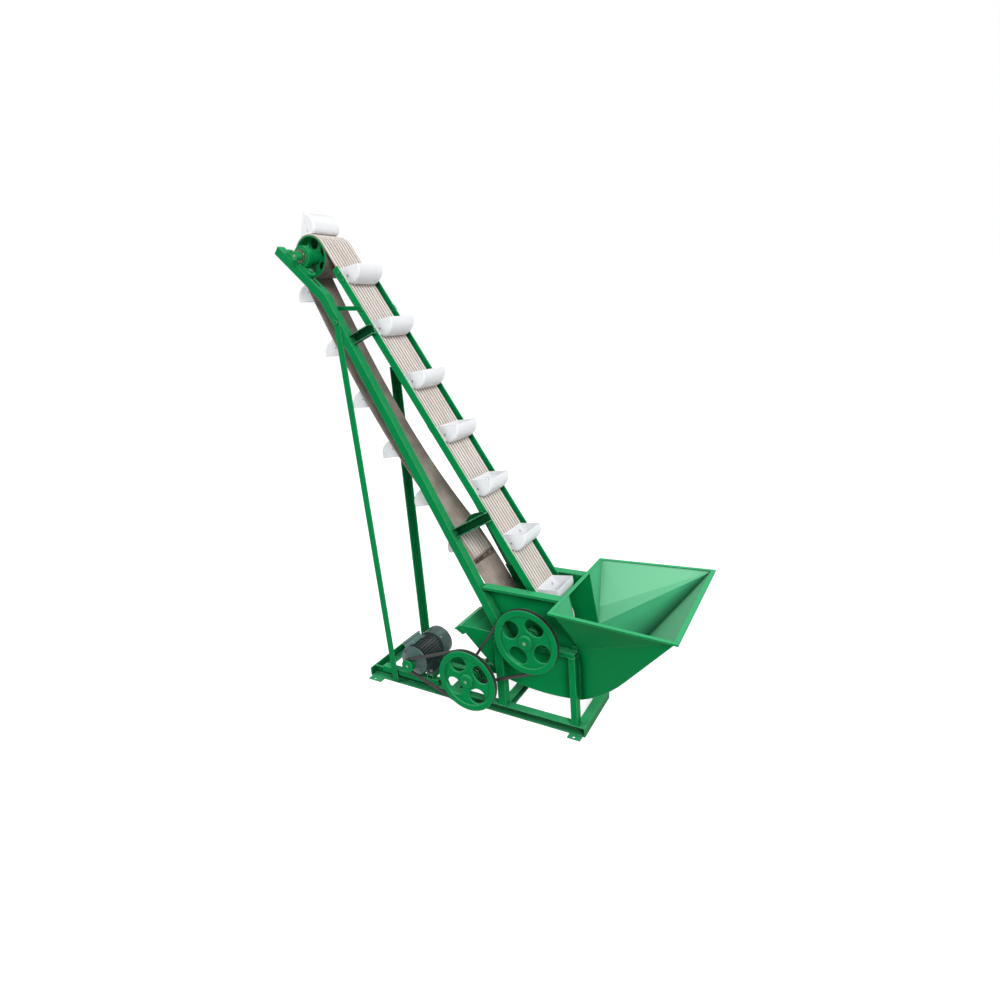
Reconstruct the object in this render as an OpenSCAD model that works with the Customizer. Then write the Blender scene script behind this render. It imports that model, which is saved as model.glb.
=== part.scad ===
/* [Base frame] */
// Length of the welded base along X
base_length = 1220; // [1100:10:1300]
// Half of the base's width across Y
base_half_width = 157; // [150:1:165]
// Height of the base channels
base_height = 45; // [40:1:60]
// Thickness of the rolled sections
section_wall = 5; // [4:0.5:6]
// Distance of the anchor holes from the centre along X
anchor_x = 565; // [540:5:575]
// Distance of the anchor holes from the centre across Y
anchor_y = 177; // [172:1:180]
// Radius of the anchor holes
anchor_hole_radius = 6.5; // [5:0.5:8]

/* [Shafts] */
// Position of the boot shaft along X
boot_x = 370; // [365:1:375]
// Height of the boot shaft
boot_z = 436; // [430:1:440]
// Position of the countershaft along X
counter_x = 65; // [60:1:70]
// Height of the countershaft
counter_z = 188; // [180:1:195]
// Position of the motor shaft along X
motor_x = -280; // [-285:1:-275]
// Height of the motor shaft
motor_z = 182; // [182:1:184]
// Position of the head shaft along X
head_x = -677.5; // [-680:0.5:-675]
// Height of the head shaft
head_z = 2129; // [2125:1:2133]
// Radius of the boot shaft and the countershaft
drive_shaft_radius = 12.5; // [12:0.5:13]
// Radius of the head shaft
head_shaft_radius = 20; // [18:0.5:21]
// Radial clearance of every running fit
fit = 0.05; // [0.03:0.01:0.08]

/* [Belt drives] */
// Outer radius of the two large pulleys
large_pulley_radius = 151; // [145:1:155]
// Outer radius of the small pulley on the countershaft
small_pulley_radius = 41; // [38:1:44]
// Outer radius of the motor pulley
motor_pulley_radius = 32; // [30:1:34]
// Plane of the first drive belt, across Y
first_belt_y = -226; // [-228:1:-224]
// Plane of the second drive belt, across Y
second_belt_y = -193; // [-195:1:-191]

/* [Bucket belt] */
// Outer radius of the head drum
head_drum_radius = 92; // [90:0.5:93]
// Outer radius of the boot drum
boot_drum_radius = 101.4; // [99:0.1:102]
// Half of the bucket belt's width
belt_half_width = 95; // [85:1:95]
// Thickness of the bucket belt
belt_thickness = 6; // [5:0.5:7]
// Distance between buckets along the carrying run
bucket_pitch = 281; // [270:1:285]
// Width of a bucket across the belt
bucket_width = 164; // [150:2:170]
// Wall thickness of a bucket
bucket_wall = 3; // [2.5:0.5:4]

/* [Boot and hopper] */
// Outer half width of the boot box
boot_half_width = 117; // [117:0.5:117]
// Thickness of the boot and hopper sheet
sheet = 3; // [2:0.5:3]
// Height of the top face of the boot rim
boot_rim_z = 640; // [630:1:645]
// Height of the top face of the hopper rim
hopper_rim_z = 654; // [650:1:660]

/* [Hidden] */

// Common resolution of the round parts
$fn = 64;

// Cut allowance for through holes
over = 1;
base_half = base_length / 2;
web_y = boot_half_width;
trim_x = -170;
trim_y = 126;

// Lower rails: the corner line of each angle, as its top, bend and foot
lower_top = [-812, 2186];
lower_bend = [-562.2, 1955.6];
lower_foot = [256.36, 400];
bent_angle = atan2(lower_bend[1] - lower_top[1], lower_bend[0] - lower_top[0]);
lower_angle = atan2(lower_foot[1] - lower_bend[1], lower_foot[0] - lower_bend[0]);
rail_leg = 40;

// Upper rails: the top edge line of each angle, as its top and foot
upper_top = [-506, 2072];
upper_foot = [414, 600];
upper_angle = atan2(upper_foot[1] - upper_top[1], upper_foot[0] - upper_top[0]);
upper_length = norm(upper_top - upper_foot);
upper_leg = 35;
upper_outer_y = boot_half_width - sheet;

// Inner radii of the bucket belt on the two drums
head_belt_inner = head_drum_radius + 0.6;
boot_belt_inner = boot_drum_radius + 0.6;
head_axis = [head_x, head_z];
boot_axis = [boot_x, boot_z];

// Carrying run: its slope where it touches both drums, and the unit vectors down it and out of it
run_angle = atan2(head_z - boot_z, boot_x - head_x)
    - asin((boot_belt_inner - head_belt_inner) / norm(head_axis - boot_axis));
down = [cos(run_angle), -sin(run_angle)];
out = [sin(run_angle), cos(run_angle)];

// Return run: it sags from the head drum to a low point near the boot, then runs straight
head_leave = 68;
boot_arrive = 57;
sag_middle = [-52.4, 910];
middle_slope = 55.5;
sag_joint = 0.68;
head_leave_out = [-sin(head_leave), -cos(head_leave)];
boot_arrive_out = [-sin(boot_arrive), -cos(boot_arrive)];
sag_start = head_axis + head_leave_out * head_belt_inner;
sag_end = boot_axis + boot_arrive_out * boot_belt_inner;
upper_reach = norm(sag_middle - sag_start) / 3;
lower_reach = norm(sag_end - sag_middle) / 3;
function downhill(angle) = [cos(angle), -sin(angle)];
upper_sag = [sag_start, sag_start + downhill(head_leave) * upper_reach,
    sag_middle - downhill(middle_slope) * upper_reach, sag_middle];
lower_sag = [sag_middle, sag_middle + downhill(middle_slope) * lower_reach,
    sag_end - downhill(boot_arrive) * lower_reach, sag_end];
sag_steps = 50;

// A point and the slope of a curve drawn by four control points
function curve_point(c, t) =
    c[0] * pow(1 - t, 3) + c[1] * 3 * t * pow(1 - t, 2)
    + c[2] * 3 * t * t * (1 - t) + c[3] * pow(t, 3);
function curve_slope(c, t) =
    (c[1] - c[0]) * 3 * pow(1 - t, 2) + (c[2] - c[1]) * 6 * t * (1 - t)
    + (c[3] - c[2]) * 3 * t * t;
function sag_point(t) = t < sag_joint
    ? curve_point(upper_sag, t / sag_joint)
    : curve_point(lower_sag, (t - sag_joint) / (1 - sag_joint));
function sag_slope(t) = t < sag_joint
    ? curve_slope(upper_sag, t / sag_joint)
    : curve_slope(lower_sag, (t - sag_joint) / (1 - sag_joint));
function sag_direction(t) = sag_slope(t) / norm(sag_slope(t));
function sag_out(t) = [sag_direction(t)[1], -sag_direction(t)[0]];

// Bends a flat outline drawn as X and Z into a slab between two Y planes
module slab(y0, y1) {
    translate([0, y1, 0]) rotate([90, 0, 0]) linear_extrude(y1 - y0) children();
}

module mirrored() {
    children();
    mirror([0, 1, 0]) children();
}

// A plain block between two corners
module block(x, y, z) {
    translate([x[0], y[0], z[0]]) cube([x[1] - x[0], y[1] - y[0], z[1] - z[0]]);
}

// A cylinder along Y between two planes
module rod_y(x, z, y0, y1, r) {
    translate([x, y1, z]) rotate([90, 0, 0]) cylinder(h = y1 - y0, r = r);
}

// A frame whose local X runs along a line in the XZ plane
module along(point, angle) {
    translate([point[0], 0, point[1]]) rotate([0, -angle, 0]) children();
}

// Base

module base_rail(side) {
    color("seagreen") scale_side(side) {
        block([-base_half + section_wall, base_half - section_wall],
            [-web_y - section_wall, -web_y], [0, base_height]);
        block([-base_half + section_wall, base_half - section_wall],
            [-base_half_width, -web_y], [0, section_wall]);
        block([trim_x, base_half - section_wall],
            [-base_half_width, -web_y], [base_height - section_wall, base_height]);
        block([-base_half + section_wall, trim_x],
            [-trim_y, -web_y], [base_height - section_wall, base_height]);
    }
}

// The near side is drawn, and the far side is its mirror image
module scale_side(side) {
    if (side > 0) mirror([0, 1, 0]) children();
    else children();
}

module base_end_left() {
    color("seagreen") {
        block([-base_half, -base_half + section_wall],
            [-base_half_width, base_half_width], [0, base_height]);
        block([-base_half + section_wall, -base_half + base_height],
            [-web_y, web_y], [0, section_wall]);
    }
}

module base_end_right() {
    color("seagreen") {
        block([base_half - section_wall, base_half],
            [-base_half_width, base_half_width], [0, base_height]);
        for (z = [0, base_height - section_wall])
            block([base_half - base_height, base_half - section_wall],
                [-web_y, web_y], [z, z + section_wall]);
    }
}

cross_x = [-390, -108, 178];

module base_cross_members() {
    color("seagreen") for (x = cross_x) {
        block([x, x + section_wall], [-web_y, web_y], [0, base_height]);
        for (z = [0, base_height - section_wall])
            block([x + section_wall, x + base_height - section_wall],
                [-web_y, web_y], [z, z + section_wall]);
    }
}

tab_out = 190;
tab_right = [538, 599];
tab_left = [-599, -519];

module foot_tabs() {
    color("seagreen") mirrored() for (tab = [tab_left, tab_right])
        difference() {
            block(tab, [-tab_out, -base_half_width], [0, section_wall]);
            translate([tab[0] > 0 ? anchor_x : -anchor_x, -anchor_y, -over])
                cylinder(h = section_wall + 2 * over, r = anchor_hole_radius);
        }
}

// Motor bed

bed_height = 30;
bed_width = 30;
bed_top = base_height + bed_height;
bed_rail_y = [-152, -10];
slide_width = 36;
slide_top = motor_z - 80;
foot_hole_x = 62.5;
foot_hole_y = [-137, 5];
motor_bolt_radius = 5;

module angle_x(x0, x1, y0, z0, width, height, wall) {
    block([x0, x1], [y0, y0 + width], [z0 + height - wall, z0 + height]);
    block([x0, x1], [y0, y0 + wall], [z0, z0 + height - wall]);
}

module motor_bed_rails() {
    color("seagreen") {
        angle_x(-525, -170, bed_rail_y[0], base_height, bed_width, bed_height, 4);
        angle_x(-525, -170, bed_rail_y[0] + bed_width, base_height, 4, bed_height, 4);
        angle_x(-400, -68, bed_rail_y[1], base_height, bed_width, bed_height, 4);
    }
}

module motor_slide_rails() {
    color("seagreen") for (x = [motor_x - foot_hole_x, motor_x + foot_hole_x])
        difference() {
            union() {
                block([x - slide_width / 2, x + slide_width / 2],
                    [bed_rail_y[0], bed_rail_y[1] + bed_width], [slide_top - 4, slide_top]);
                for (s = [-1, 1])
                    block([x + s * (slide_width / 2 - 2) - 2, x + s * (slide_width / 2 - 2) + 2],
                        [bed_rail_y[0], bed_rail_y[1] + bed_width], [bed_top, slide_top - 4]);
            }
            for (y = foot_hole_y)
                translate([x, y, bed_top]) cylinder(h = 60, r = motor_bolt_radius + fit);
        }
}

// Posts and bearing rails

bearing_rail_top = boot_z - 36;
bearing_rail_face = 23;
post_top = bearing_rail_top - bearing_rail_face;
bearing_rail_x = [180, 577];
post_left_x = [180, 220];
post_right_x = [547, 577];
nub_x = [555, 577];
nub_y = 125;

module post(x) {
    block(x, [-base_half_width, -base_half_width + section_wall], [base_height, post_top]);
    block([x[1] - section_wall, x[1]],
        [-base_half_width + section_wall, -web_y], [base_height, post_top]);
}

module posts(side) {
    color("seagreen") scale_side(side) {
        post(post_left_x);
        post(post_right_x);
    }
}

module bearing_rail(side) {
    color("seagreen") scale_side(side) difference() {
        union() {
            block(bearing_rail_x, [-base_half_width, -web_y],
                [bearing_rail_top - section_wall, bearing_rail_top]);
            block(bearing_rail_x, [-base_half_width, -base_half_width + section_wall],
                [post_top, bearing_rail_top - section_wall]);
            block(nub_x, [-nub_y, -web_y], [bearing_rail_top, bearing_rail_top + 20]);
        }
        for (s = [-1, 1])
            translate([boot_x + s * small_bolt_spacing / 2, -bearing_y, post_top])
                cylinder(h = 40, r = bearing_bolt_radius + fit);
    }
}

// Pillow block bearings: half width, base length, bolt spacing and bolt size

bearing_y = 137;
small_bolt_spacing = 105;
bearing_bolt_radius = 5;
small_block_height = 36;
large_block_height = (head_axis - lower_top) * [-sin(bent_angle), cos(bent_angle)];
large_bolt_spacing = 137;
large_bolt_radius = 6;

// One housing drawn on a base plane at Z = 0 with its shaft along Y
module pillow_block(height, base_length, base_width, spacing, bolt_r, body_r, bore_r) {
    foot = height * 0.4;
    difference() {
        union() {
            block([-base_length / 2 + base_width / 2, base_length / 2 - base_width / 2],
                [-base_width / 2, base_width / 2], [0, foot]);
            for (s = [-1, 1])
                translate([s * (base_length - base_width) / 2, 0, 0])
                    cylinder(h = foot, r = base_width / 2);
            block([-body_r, body_r], [-base_width * 0.36, base_width * 0.36], [foot, height]);
            rod_y(0, height, -base_width * 0.36, base_width * 0.36, body_r);
            rod_y(0, height, -base_width * 0.46, base_width * 0.46, bore_r + 9);
            translate([0, 0, height + body_r - 2]) cylinder(h = 7, r = 6);
            translate([0, 0, height + body_r + 5]) cylinder(h = 7, r = 3);
        }
        rod_y(0, height, -base_width, base_width, bore_r + fit);
        for (s = [-1, 1])
            translate([s * spacing / 2, 0, -over]) cylinder(h = foot + 2 * over, r = bolt_r + fit);
    }
}

inner_ring = 5;

module small_bearing(x, z) {
    mirrored() translate([x, -bearing_y, z - small_block_height])
        pillow_block(small_block_height, 140, 38, small_bolt_spacing,
            bearing_bolt_radius, 34, drive_shaft_radius + inner_ring);
}

module boot_bearings() {
    color("green") small_bearing(boot_x, boot_z);
}

module counter_bearings() {
    color("green") small_bearing(counter_x, counter_z);
}

head_foot_along = (head_x - lower_top[0]) * cos(bent_angle)
    + (head_z - lower_top[1]) * sin(bent_angle);

module head_bearings() {
    color("green") mirrored() along(lower_top, bent_angle)
        translate([head_foot_along, -bearing_y, 0])
            pillow_block(large_block_height, 184, 40, large_bolt_spacing,
                large_bolt_radius, 46, head_shaft_radius + inner_ring);
}

// Countershaft stands

stand_top = counter_z - small_block_height;
stand_half = 70;

module counter_stands() {
    color("seagreen") mirrored() difference() {
        union() {
            block([counter_x - stand_half, counter_x + stand_half],
                [-base_half_width, -web_y], [stand_top - section_wall, stand_top]);
            for (x = [counter_x - stand_half, counter_x + stand_half - section_wall])
                block([x, x + section_wall], [-base_half_width, -web_y],
                    [base_height, stand_top - section_wall]);
            block([counter_x - stand_half, counter_x + stand_half],
                [-web_y - section_wall, -web_y], [stand_top - 35, stand_top - section_wall]);
        }
        for (s = [-1, 1])
            translate([counter_x + s * small_bolt_spacing / 2, -bearing_y, base_height])
                cylinder(h = 200, r = bearing_bolt_radius + fit);
    }
}

// Back legs

leg_width = 35;
leg_wall = 4;
near_leg_top = [-510, 1829];
near_leg_foot = [-438, section_wall];
far_leg_top = [-457, 1716];
far_leg_foot = [-455, section_wall];

// The inner flange starts above whatever the leg stands beside
module back_leg(side, top, foot, web_start, web_end) {
    lean = (top[0] - foot[0]) / (top[1] - foot[1]);
    head = 20;
    color("seagreen") scale_side(side) difference() {
        union() {
            slab(-base_half_width - leg_wall, -base_half_width) polygon([
                [foot[0] - leg_width / 2, foot[1]],
                [foot[0] + leg_width / 2, foot[1]],
                [top[0] + leg_width / 2 + lean * head, top[1] + head],
                [top[0] - leg_width / 2 + lean * head, top[1] + head]
            ]);
            slab(-base_half_width, -trim_y) polygon([
                for (z = [web_start, web_end])
                    [foot[0] - leg_width / 2 + lean * (z - foot[1]), z],
                for (z = [web_end, web_start])
                    [foot[0] - leg_width / 2 + leg_wall + lean * (z - foot[1]), z]
            ]);
        }
        rod_y(top[0], top[1], -base_half_width - leg_wall - over, -base_half_width + over,
            rail_bolt_radius + fit);
    }
}

// Inclined rails

rail_bolt_radius = 5;
slot_down = [53, 153];
slot_up = [-105, -45];
slot_half = 7;

// Outline of a lower rail in side view, down to a depth under its corner line
bent_in = [sin(bent_angle), -cos(bent_angle)];
lower_in = [sin(lower_angle), -cos(lower_angle)];

module lower_outline(depth) {
    polygon([
        lower_top, lower_bend, lower_foot,
        lower_foot + [depth / sin(lower_angle), 0],
        lower_bend + (bent_in + lower_in) * depth / (1 + bent_in * lower_in),
        lower_top + bent_in * depth
    ]);
}

module rail_slot(x0, x1) {
    for (x = [x0 + slot_half, x1 - slot_half])
        translate([x, -bearing_y, -2 * section_wall])
            cylinder(h = 3 * section_wall, r = slot_half);
    block([x0 + slot_half, x1 - slot_half],
        [-bearing_y - slot_half, -bearing_y + slot_half], [-2 * section_wall, section_wall]);
}

module lower_rail(side, leg_bolt) {
    color("mediumseagreen") scale_side(side) difference() {
        union() {
            slab(-base_half_width, -base_half_width + section_wall) lower_outline(rail_leg);
            slab(-base_half_width + section_wall, -web_y) lower_outline(section_wall);
        }
        along(lower_top, bent_angle) {
            rail_slot(head_foot_along + slot_down[0], head_foot_along + slot_down[1]);
            rail_slot(head_foot_along + slot_up[0], head_foot_along + slot_up[1]);
        }
        rod_y(leg_bolt[0], leg_bolt[1], -base_half_width - over,
            -base_half_width + section_wall + over, rail_bolt_radius + fit);
    }
}

// Bolts that hold the head of each upper rail: distances down its web
upper_bolt_along = [29, 67];
upper_bolt_down = 12;
upper_bolt_radius = 4;

module upper_rail(side) {
    color("mediumseagreen") scale_side(side) along(upper_top, upper_angle) difference() {
        union() {
            block([0, upper_length], [-upper_outer_y, -upper_outer_y + section_wall],
                [-upper_leg, 0]);
            block([0, upper_length],
                [-upper_outer_y + section_wall, -upper_outer_y + upper_leg],
                [-upper_leg, -upper_leg + section_wall]);
        }
        for (x = upper_bolt_along)
            rod_y(x, -upper_bolt_down, -upper_outer_y - over,
                -upper_outer_y + section_wall + over, upper_bolt_radius + fit);
    }
}

// Points on the top lines of the two rails at a height
function lower_line_x(z) =
    lower_foot[0] + (z - lower_foot[1]) / tan(lower_angle);
function upper_line_x(z) =
    upper_foot[0] + (z - upper_foot[1]) / tan(upper_angle);

tie_bar = 21;
short_tie_left_z = 1900;
short_tie_right_z = 1891;

module short_rail_ties() {
    color("mediumseagreen") mirrored()
        slab(-upper_outer_y - section_wall, -upper_outer_y) polygon([
            [lower_line_x(short_tie_left_z), short_tie_left_z],
            [lower_line_x(short_tie_left_z - tie_bar), short_tie_left_z - tie_bar],
            [upper_line_x(short_tie_right_z - tie_bar), short_tie_right_z - tie_bar],
            [upper_line_x(short_tie_right_z), short_tie_right_z]
        ]);
}

// Channel ties stand on the lower rails and carry the upper rails
tie_depth = 44;
tie_wall = 4;
tie_width = 28;
// Each tie's distance below the bend of the rail, its length and its slope
tie_places = [[235, 128, 19.75], [1225, 205, 90 + lower_angle]];
far_tie_y = 100;
rail_down = [cos(lower_angle), sin(lower_angle)];
upper_out = [-sin(upper_angle), cos(upper_angle)];
under_upper = upper_top * upper_out - upper_leg;

// Length of a tie's edge from its foot to the underside of the upper rail
function edge_to_rail(foot, heading) = (under_upper - foot * upper_out) / (heading * upper_out);

// The strip of a tie between two offsets across it
module tie_strip(tie, e0, e1, y0, y1, far) {
    heading = [cos(tie[2]), sin(tie[2])];
    square_off = cos(tie[2] - 90 - lower_angle);
    foot = [for (e = [e0, e1]) lower_bend + rail_down * (tie[0] + e / square_off)];
    skew = [for (e = [e0, e1]) e * tan(90 + lower_angle - tie[2])];
    top = [for (i = [0, 1]) foot[i] + heading
        * (far ? edge_to_rail(foot[i], heading) : tie[1] - skew[i])];
    slab(y0, y1) polygon([foot[0], foot[1], top[1], top[0]]);
}

module channel_tie(tie, outer, far) {
    tie_strip(tie, -tie_depth / 2, tie_depth / 2, -outer - tie_wall, -outer, far);
    for (s = [-1, 1])
        tie_strip(tie, s * (tie_depth / 2 - tie_wall / 2) - tie_wall / 2,
            s * (tie_depth / 2 - tie_wall / 2) + tie_wall / 2,
            -outer - tie_width, -outer - tie_wall, far);
}

// The lower near tie's web rises in a curved ear: distances along the tie and above its middle
tie_ear = [[60, 20], [72, 24], [83, 31.5], [95, 38.5], [106, 42], [116, 43], [135, 42],
    [153, 38], [178, 34], [190, 20]];

module channel_ties() {
    low = tie_places[1];
    color("darkgreen") {
        for (tie = tie_places) {
            channel_tie(tie, upper_outer_y, false);
            scale_side(1) channel_tie(tie, far_tie_y, true);
        }
        along(lower_bend + rail_down * low[0], low[2])
            slab(-upper_outer_y - tie_wall, -upper_outer_y) polygon(tie_ear);
    }
}

// Angles across the belt under the upper rails
cross_tie_at = [30, 820, 1480];

module belt_cross_ties() {
    color("darkgreen") along(upper_top, upper_angle) for (s = cross_tie_at) {
        block([s, s + upper_leg], [-upper_outer_y + section_wall, upper_outer_y - section_wall],
            [-upper_leg - section_wall, -upper_leg]);
    }
}

// Boot

arc_centre = [426, 1055.5];
arc_radius = 912;
rear_points = [[202, 171], [96, 262], [1, 359], [-23, 396]];
lip_end = [-58, 373];
front_top = [550, 651];
front_fold = [583, 413];
scoop_top_z = 396;

function arc_z(x) = arc_centre[1] - sqrt(pow(arc_radius, 2) - pow(x - arc_centre[0], 2));

arc_steps = 12;
arc_x = [for (i = [0:arc_steps]) 202 + i * (front_fold[0] - 202) / arc_steps];
shaft_hole_radius = 17;

module boot_side(side) {
    back_low = [lower_line_x(scoop_top_z) - 20, scoop_top_z];
    back_high = [lower_line_x(boot_rim_z) - 20, boot_rim_z - sheet];
    color("seagreen") scale_side(side) difference() {
        slab(-boot_half_width, -boot_half_width + sheet) polygon(concat(
            [for (x = arc_x) [x, arc_z(x)]],
            [front_fold, front_top, [rim_left[0] + sheet, front_top[1]]],
            [for (x = [rim_left[0] + sheet, rim_left[0]]) [x, rim_under - rim_drop]],
            [[rim_left[0], boot_rim_z - sheet]],
            [back_high, back_low, [-23, scoop_top_z], [1, 359], [96, 262]]
        ));
        rod_y(boot_x, boot_z, -boot_half_width - over, -boot_half_width + sheet + over,
            shaft_hole_radius);
    }
}

module boot_bottom() {
    inner = boot_half_width - sheet;
    color("seagreen") {
        slab(-inner, inner) polygon(concat(
            [for (x = arc_x) [x, arc_z(x)]],
            [for (i = [arc_steps:-1:0]) [arc_x[i], arc_z(arc_x[i]) + sheet]]
        ));
        slab(-inner, inner) polygon([
            [202, 171], [202, 175], [98, 264], [4, 361], [-20.5, 397.6],
            [-23, 396], [1, 359], [96, 262]
        ]);
    }
}

module scoop_lip() {
    color("mediumseagreen") {
        slab(-boot_half_width, boot_half_width) polygon([
            [-23, 396], lip_end, lip_end + [1.6, -2.5], [-23.8, 391.9]
        ]);
        rod_y(lip_end[0], lip_end[1] - 2, -boot_half_width, boot_half_width, 4);
        mirrored() slab(-boot_half_width, -boot_half_width + sheet) polygon([
            [-23.8, 391.9], [-56.4, 370.5], [-17, 348], [1, 359]
        ]);
    }
}

rim_width = 40;
rim_lip = 12;
rim_x = [144, 530];

module boot_rims() {
    color("mediumseagreen") mirrored() {
        block(rim_x, [-boot_half_width - rim_width, -boot_half_width + sheet],
            [boot_rim_z - sheet, boot_rim_z]);
        block(rim_x, [-boot_half_width - rim_width, -boot_half_width - rim_width + sheet],
            [boot_rim_z - rim_lip, boot_rim_z - sheet]);
    }
}

// Hopper

rim_left = [530, 297];
rim_right = [1054, 341];
rim_fold = 14;
rim_under = hopper_rim_z - sheet;
panel_shift = 3.75;
panel_left = [544, 283];
side_spread = 0.4695;
function side_y(x) = boot_half_width + side_spread * (x - front_fold[0]);

// Outer profile of the hopper's floor: each step is 40 mm along X, then a straight slope
floor_steps = [35, 38, 41, 44, 47, 50];
floor_run = 40;
function floor_rise(i) = i < 0 ? 0 : floor_run * tan(floor_steps[i]) + floor_rise(i - 1);
floor_start = [front_fold[0], arc_z(front_fold[0])];
floor_curve = concat([floor_start], [for (i = [0:len(floor_steps) - 1])
    floor_start + [floor_run * (i + 1), floor_rise(i)]]);
floor_last = floor_curve[len(floor_curve) - 1];
floor_top = [floor_last[0] + (rim_under - floor_last[1]) / tan(51), rim_under];
floor_line = concat(floor_curve, [floor_top]);

// One folded sheet: the warped side panel and the wing that closes it to the boot's front edge
module hopper_side(side) {
    n = len(floor_line);
    // Outer surface points as X, distance from the centre plane, Z
    low = [for (p = floor_line) [p[0], side_y(p[0]), p[1]]];
    corner = [panel_left[0], panel_left[1], rim_under];
    top = [panel_left[0], boot_half_width, rim_under];
    edge = [front_fold[0], boot_half_width, front_fold[1]];
    fold_low = [front_fold[0], boot_half_width, front_fold[1] - 90];
    fold_high = [front_fold[0] - 9, boot_half_width + 42, front_fold[1] + 60];
    fold_mid = [front_fold[0] - 1, boot_half_width + 4, front_fold[1] - 6];
    outer = concat(low, [corner, top, edge, fold_low, fold_high, fold_mid]);
    rim = n + 4;
    count = n + 6;
    // The wing's edge on the boot moves in along X only, so it never enters the boot's plate
    inward = [sheet, sheet * side_spread - panel_shift, 0];
    inner = [for (i = [0:count - 1])
        outer[i] + (i == n + 1 || i == n + 2 ? [sheet, 0, 0] : inward)];
    faces_out = [
        concat([for (i = [0:n - 1]) i], [n + 3]),
        [n - 1, n, n + 4], [n - 1, n + 4, n + 5], [n - 1, n + 5, n + 3],
        [n, n + 1, n + 4], [n + 4, n + 1, n + 2], [n + 4, n + 2, n + 5], [n + 5, n + 2, n + 3]
    ];
    color("seagreen") scale_side(side) mirror([0, 1, 0]) polyhedron(
        points = concat(outer, inner),
        faces = concat(
            faces_out,
            [for (f = faces_out) [for (i = [len(f) - 1:-1:0]) f[i] + count]],
            [for (i = [0:rim - 1]) [(i + 1) % rim, i, i + count]],
            [for (i = [0:rim - 1]) [(i + 1) % rim, i + count, (i + 1) % rim + count]]
        )
    );
}

module hopper_bottom() {
    reach = floor_top[0];
    color("seagreen") intersection() {
        slab(-rim_right[1], rim_right[1]) polygon(concat(
            floor_line,
            [[floor_top[0] - sheet * 1.6, floor_top[1]]],
            [for (i = [len(floor_curve) - 1:-1:1]) floor_curve[i] + [-sheet * 0.7, sheet * 0.75]],
            [[floor_start[0], floor_start[1] + sheet]]
        ));
        linear_extrude(hopper_rim_z) polygon([
            [front_fold[0], side_y(front_fold[0]) - panel_shift],
            [reach, side_y(reach) - panel_shift],
            [reach, -side_y(reach) + panel_shift],
            [front_fold[0], -side_y(front_fold[0]) + panel_shift]
        ]);
    }
}

module rim_outline(inset) {
    polygon([
        [rim_left[0] + inset, rim_left[1] - inset],
        [rim_right[0] - inset, rim_right[1] - inset],
        [rim_right[0] - inset, -rim_right[1] + inset],
        [rim_left[0] + inset, -rim_left[1] + inset]
    ]);
}

rim_drop = 5.5;

module hopper_rim() {
    color("mediumseagreen") {
        translate([0, 0, rim_under]) linear_extrude(sheet) difference() {
            rim_outline(0);
            rim_outline(rim_fold + panel_shift);
        }
        translate([0, 0, rim_under - rim_drop]) linear_extrude(rim_drop) difference() {
            rim_outline(0);
            rim_outline(sheet);
        }
    }
}

// Bolts

module bolt_x_z(x, z, y0, y1, r, head_r, head_h) {
    rod_y(x, z, y0, y1, r);
    rod_y(x, z, y0 - head_h, y0, head_r);
}

module frame_bolts() {
    color("dimgray") {
        scale_side(-1) bolt_x_z(near_leg_top[0], near_leg_top[1],
            -base_half_width - leg_wall, -base_half_width + section_wall,
            rail_bolt_radius, 9, 6);
        scale_side(1) bolt_x_z(far_leg_top[0], far_leg_top[1],
            -base_half_width - leg_wall, -base_half_width + section_wall,
            rail_bolt_radius, 9, 6);
        mirrored() along(upper_top, upper_angle) for (x = upper_bolt_along) {
            bolt_x_z(x, -upper_bolt_down, -upper_outer_y, -upper_outer_y + section_wall + 5,
                upper_bolt_radius, 7, 4);
            rod_y(x, -upper_bolt_down, -upper_outer_y + section_wall,
                -upper_outer_y + section_wall + 4, 6.5);
        }
    }
}

module bearing_bolts() {
    color("dimgray") mirrored() {
        for (s = [-1, 1]) {
            translate([boot_x + s * small_bolt_spacing / 2, -bearing_y,
                bearing_rail_top - section_wall])
                bolt_up(section_wall + small_block_height * 0.4, bearing_bolt_radius);
            translate([counter_x + s * small_bolt_spacing / 2, -bearing_y,
                stand_top - section_wall])
                bolt_up(section_wall + small_block_height * 0.4, bearing_bolt_radius);
        }
        along(lower_top, bent_angle) for (s = [-1, 1])
            translate([head_foot_along + s * large_bolt_spacing / 2, -bearing_y, -section_wall])
                bolt_up(section_wall + large_block_height * 0.4, large_bolt_radius);
    }
}

// A bolt through a stack: its nut below, its head above
module bolt_up(grip, r) {
    cylinder(h = grip, r = r);
    translate([0, 0, grip]) cylinder(h = r * 1.3, r = r * 1.8, $fn = 6);
    translate([0, 0, -r * 1.6]) cylinder(h = r * 1.6, r = r * 1.8, $fn = 6);
}

// Motor

motor_frame_radius = 71;
motor_body_y = [-178, -30];
fin_count = 36;
fin_height = 6;
fin_wall = 3;
shaft_radius_motor = 9.5;
cowl_radius = 78.5;

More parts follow.
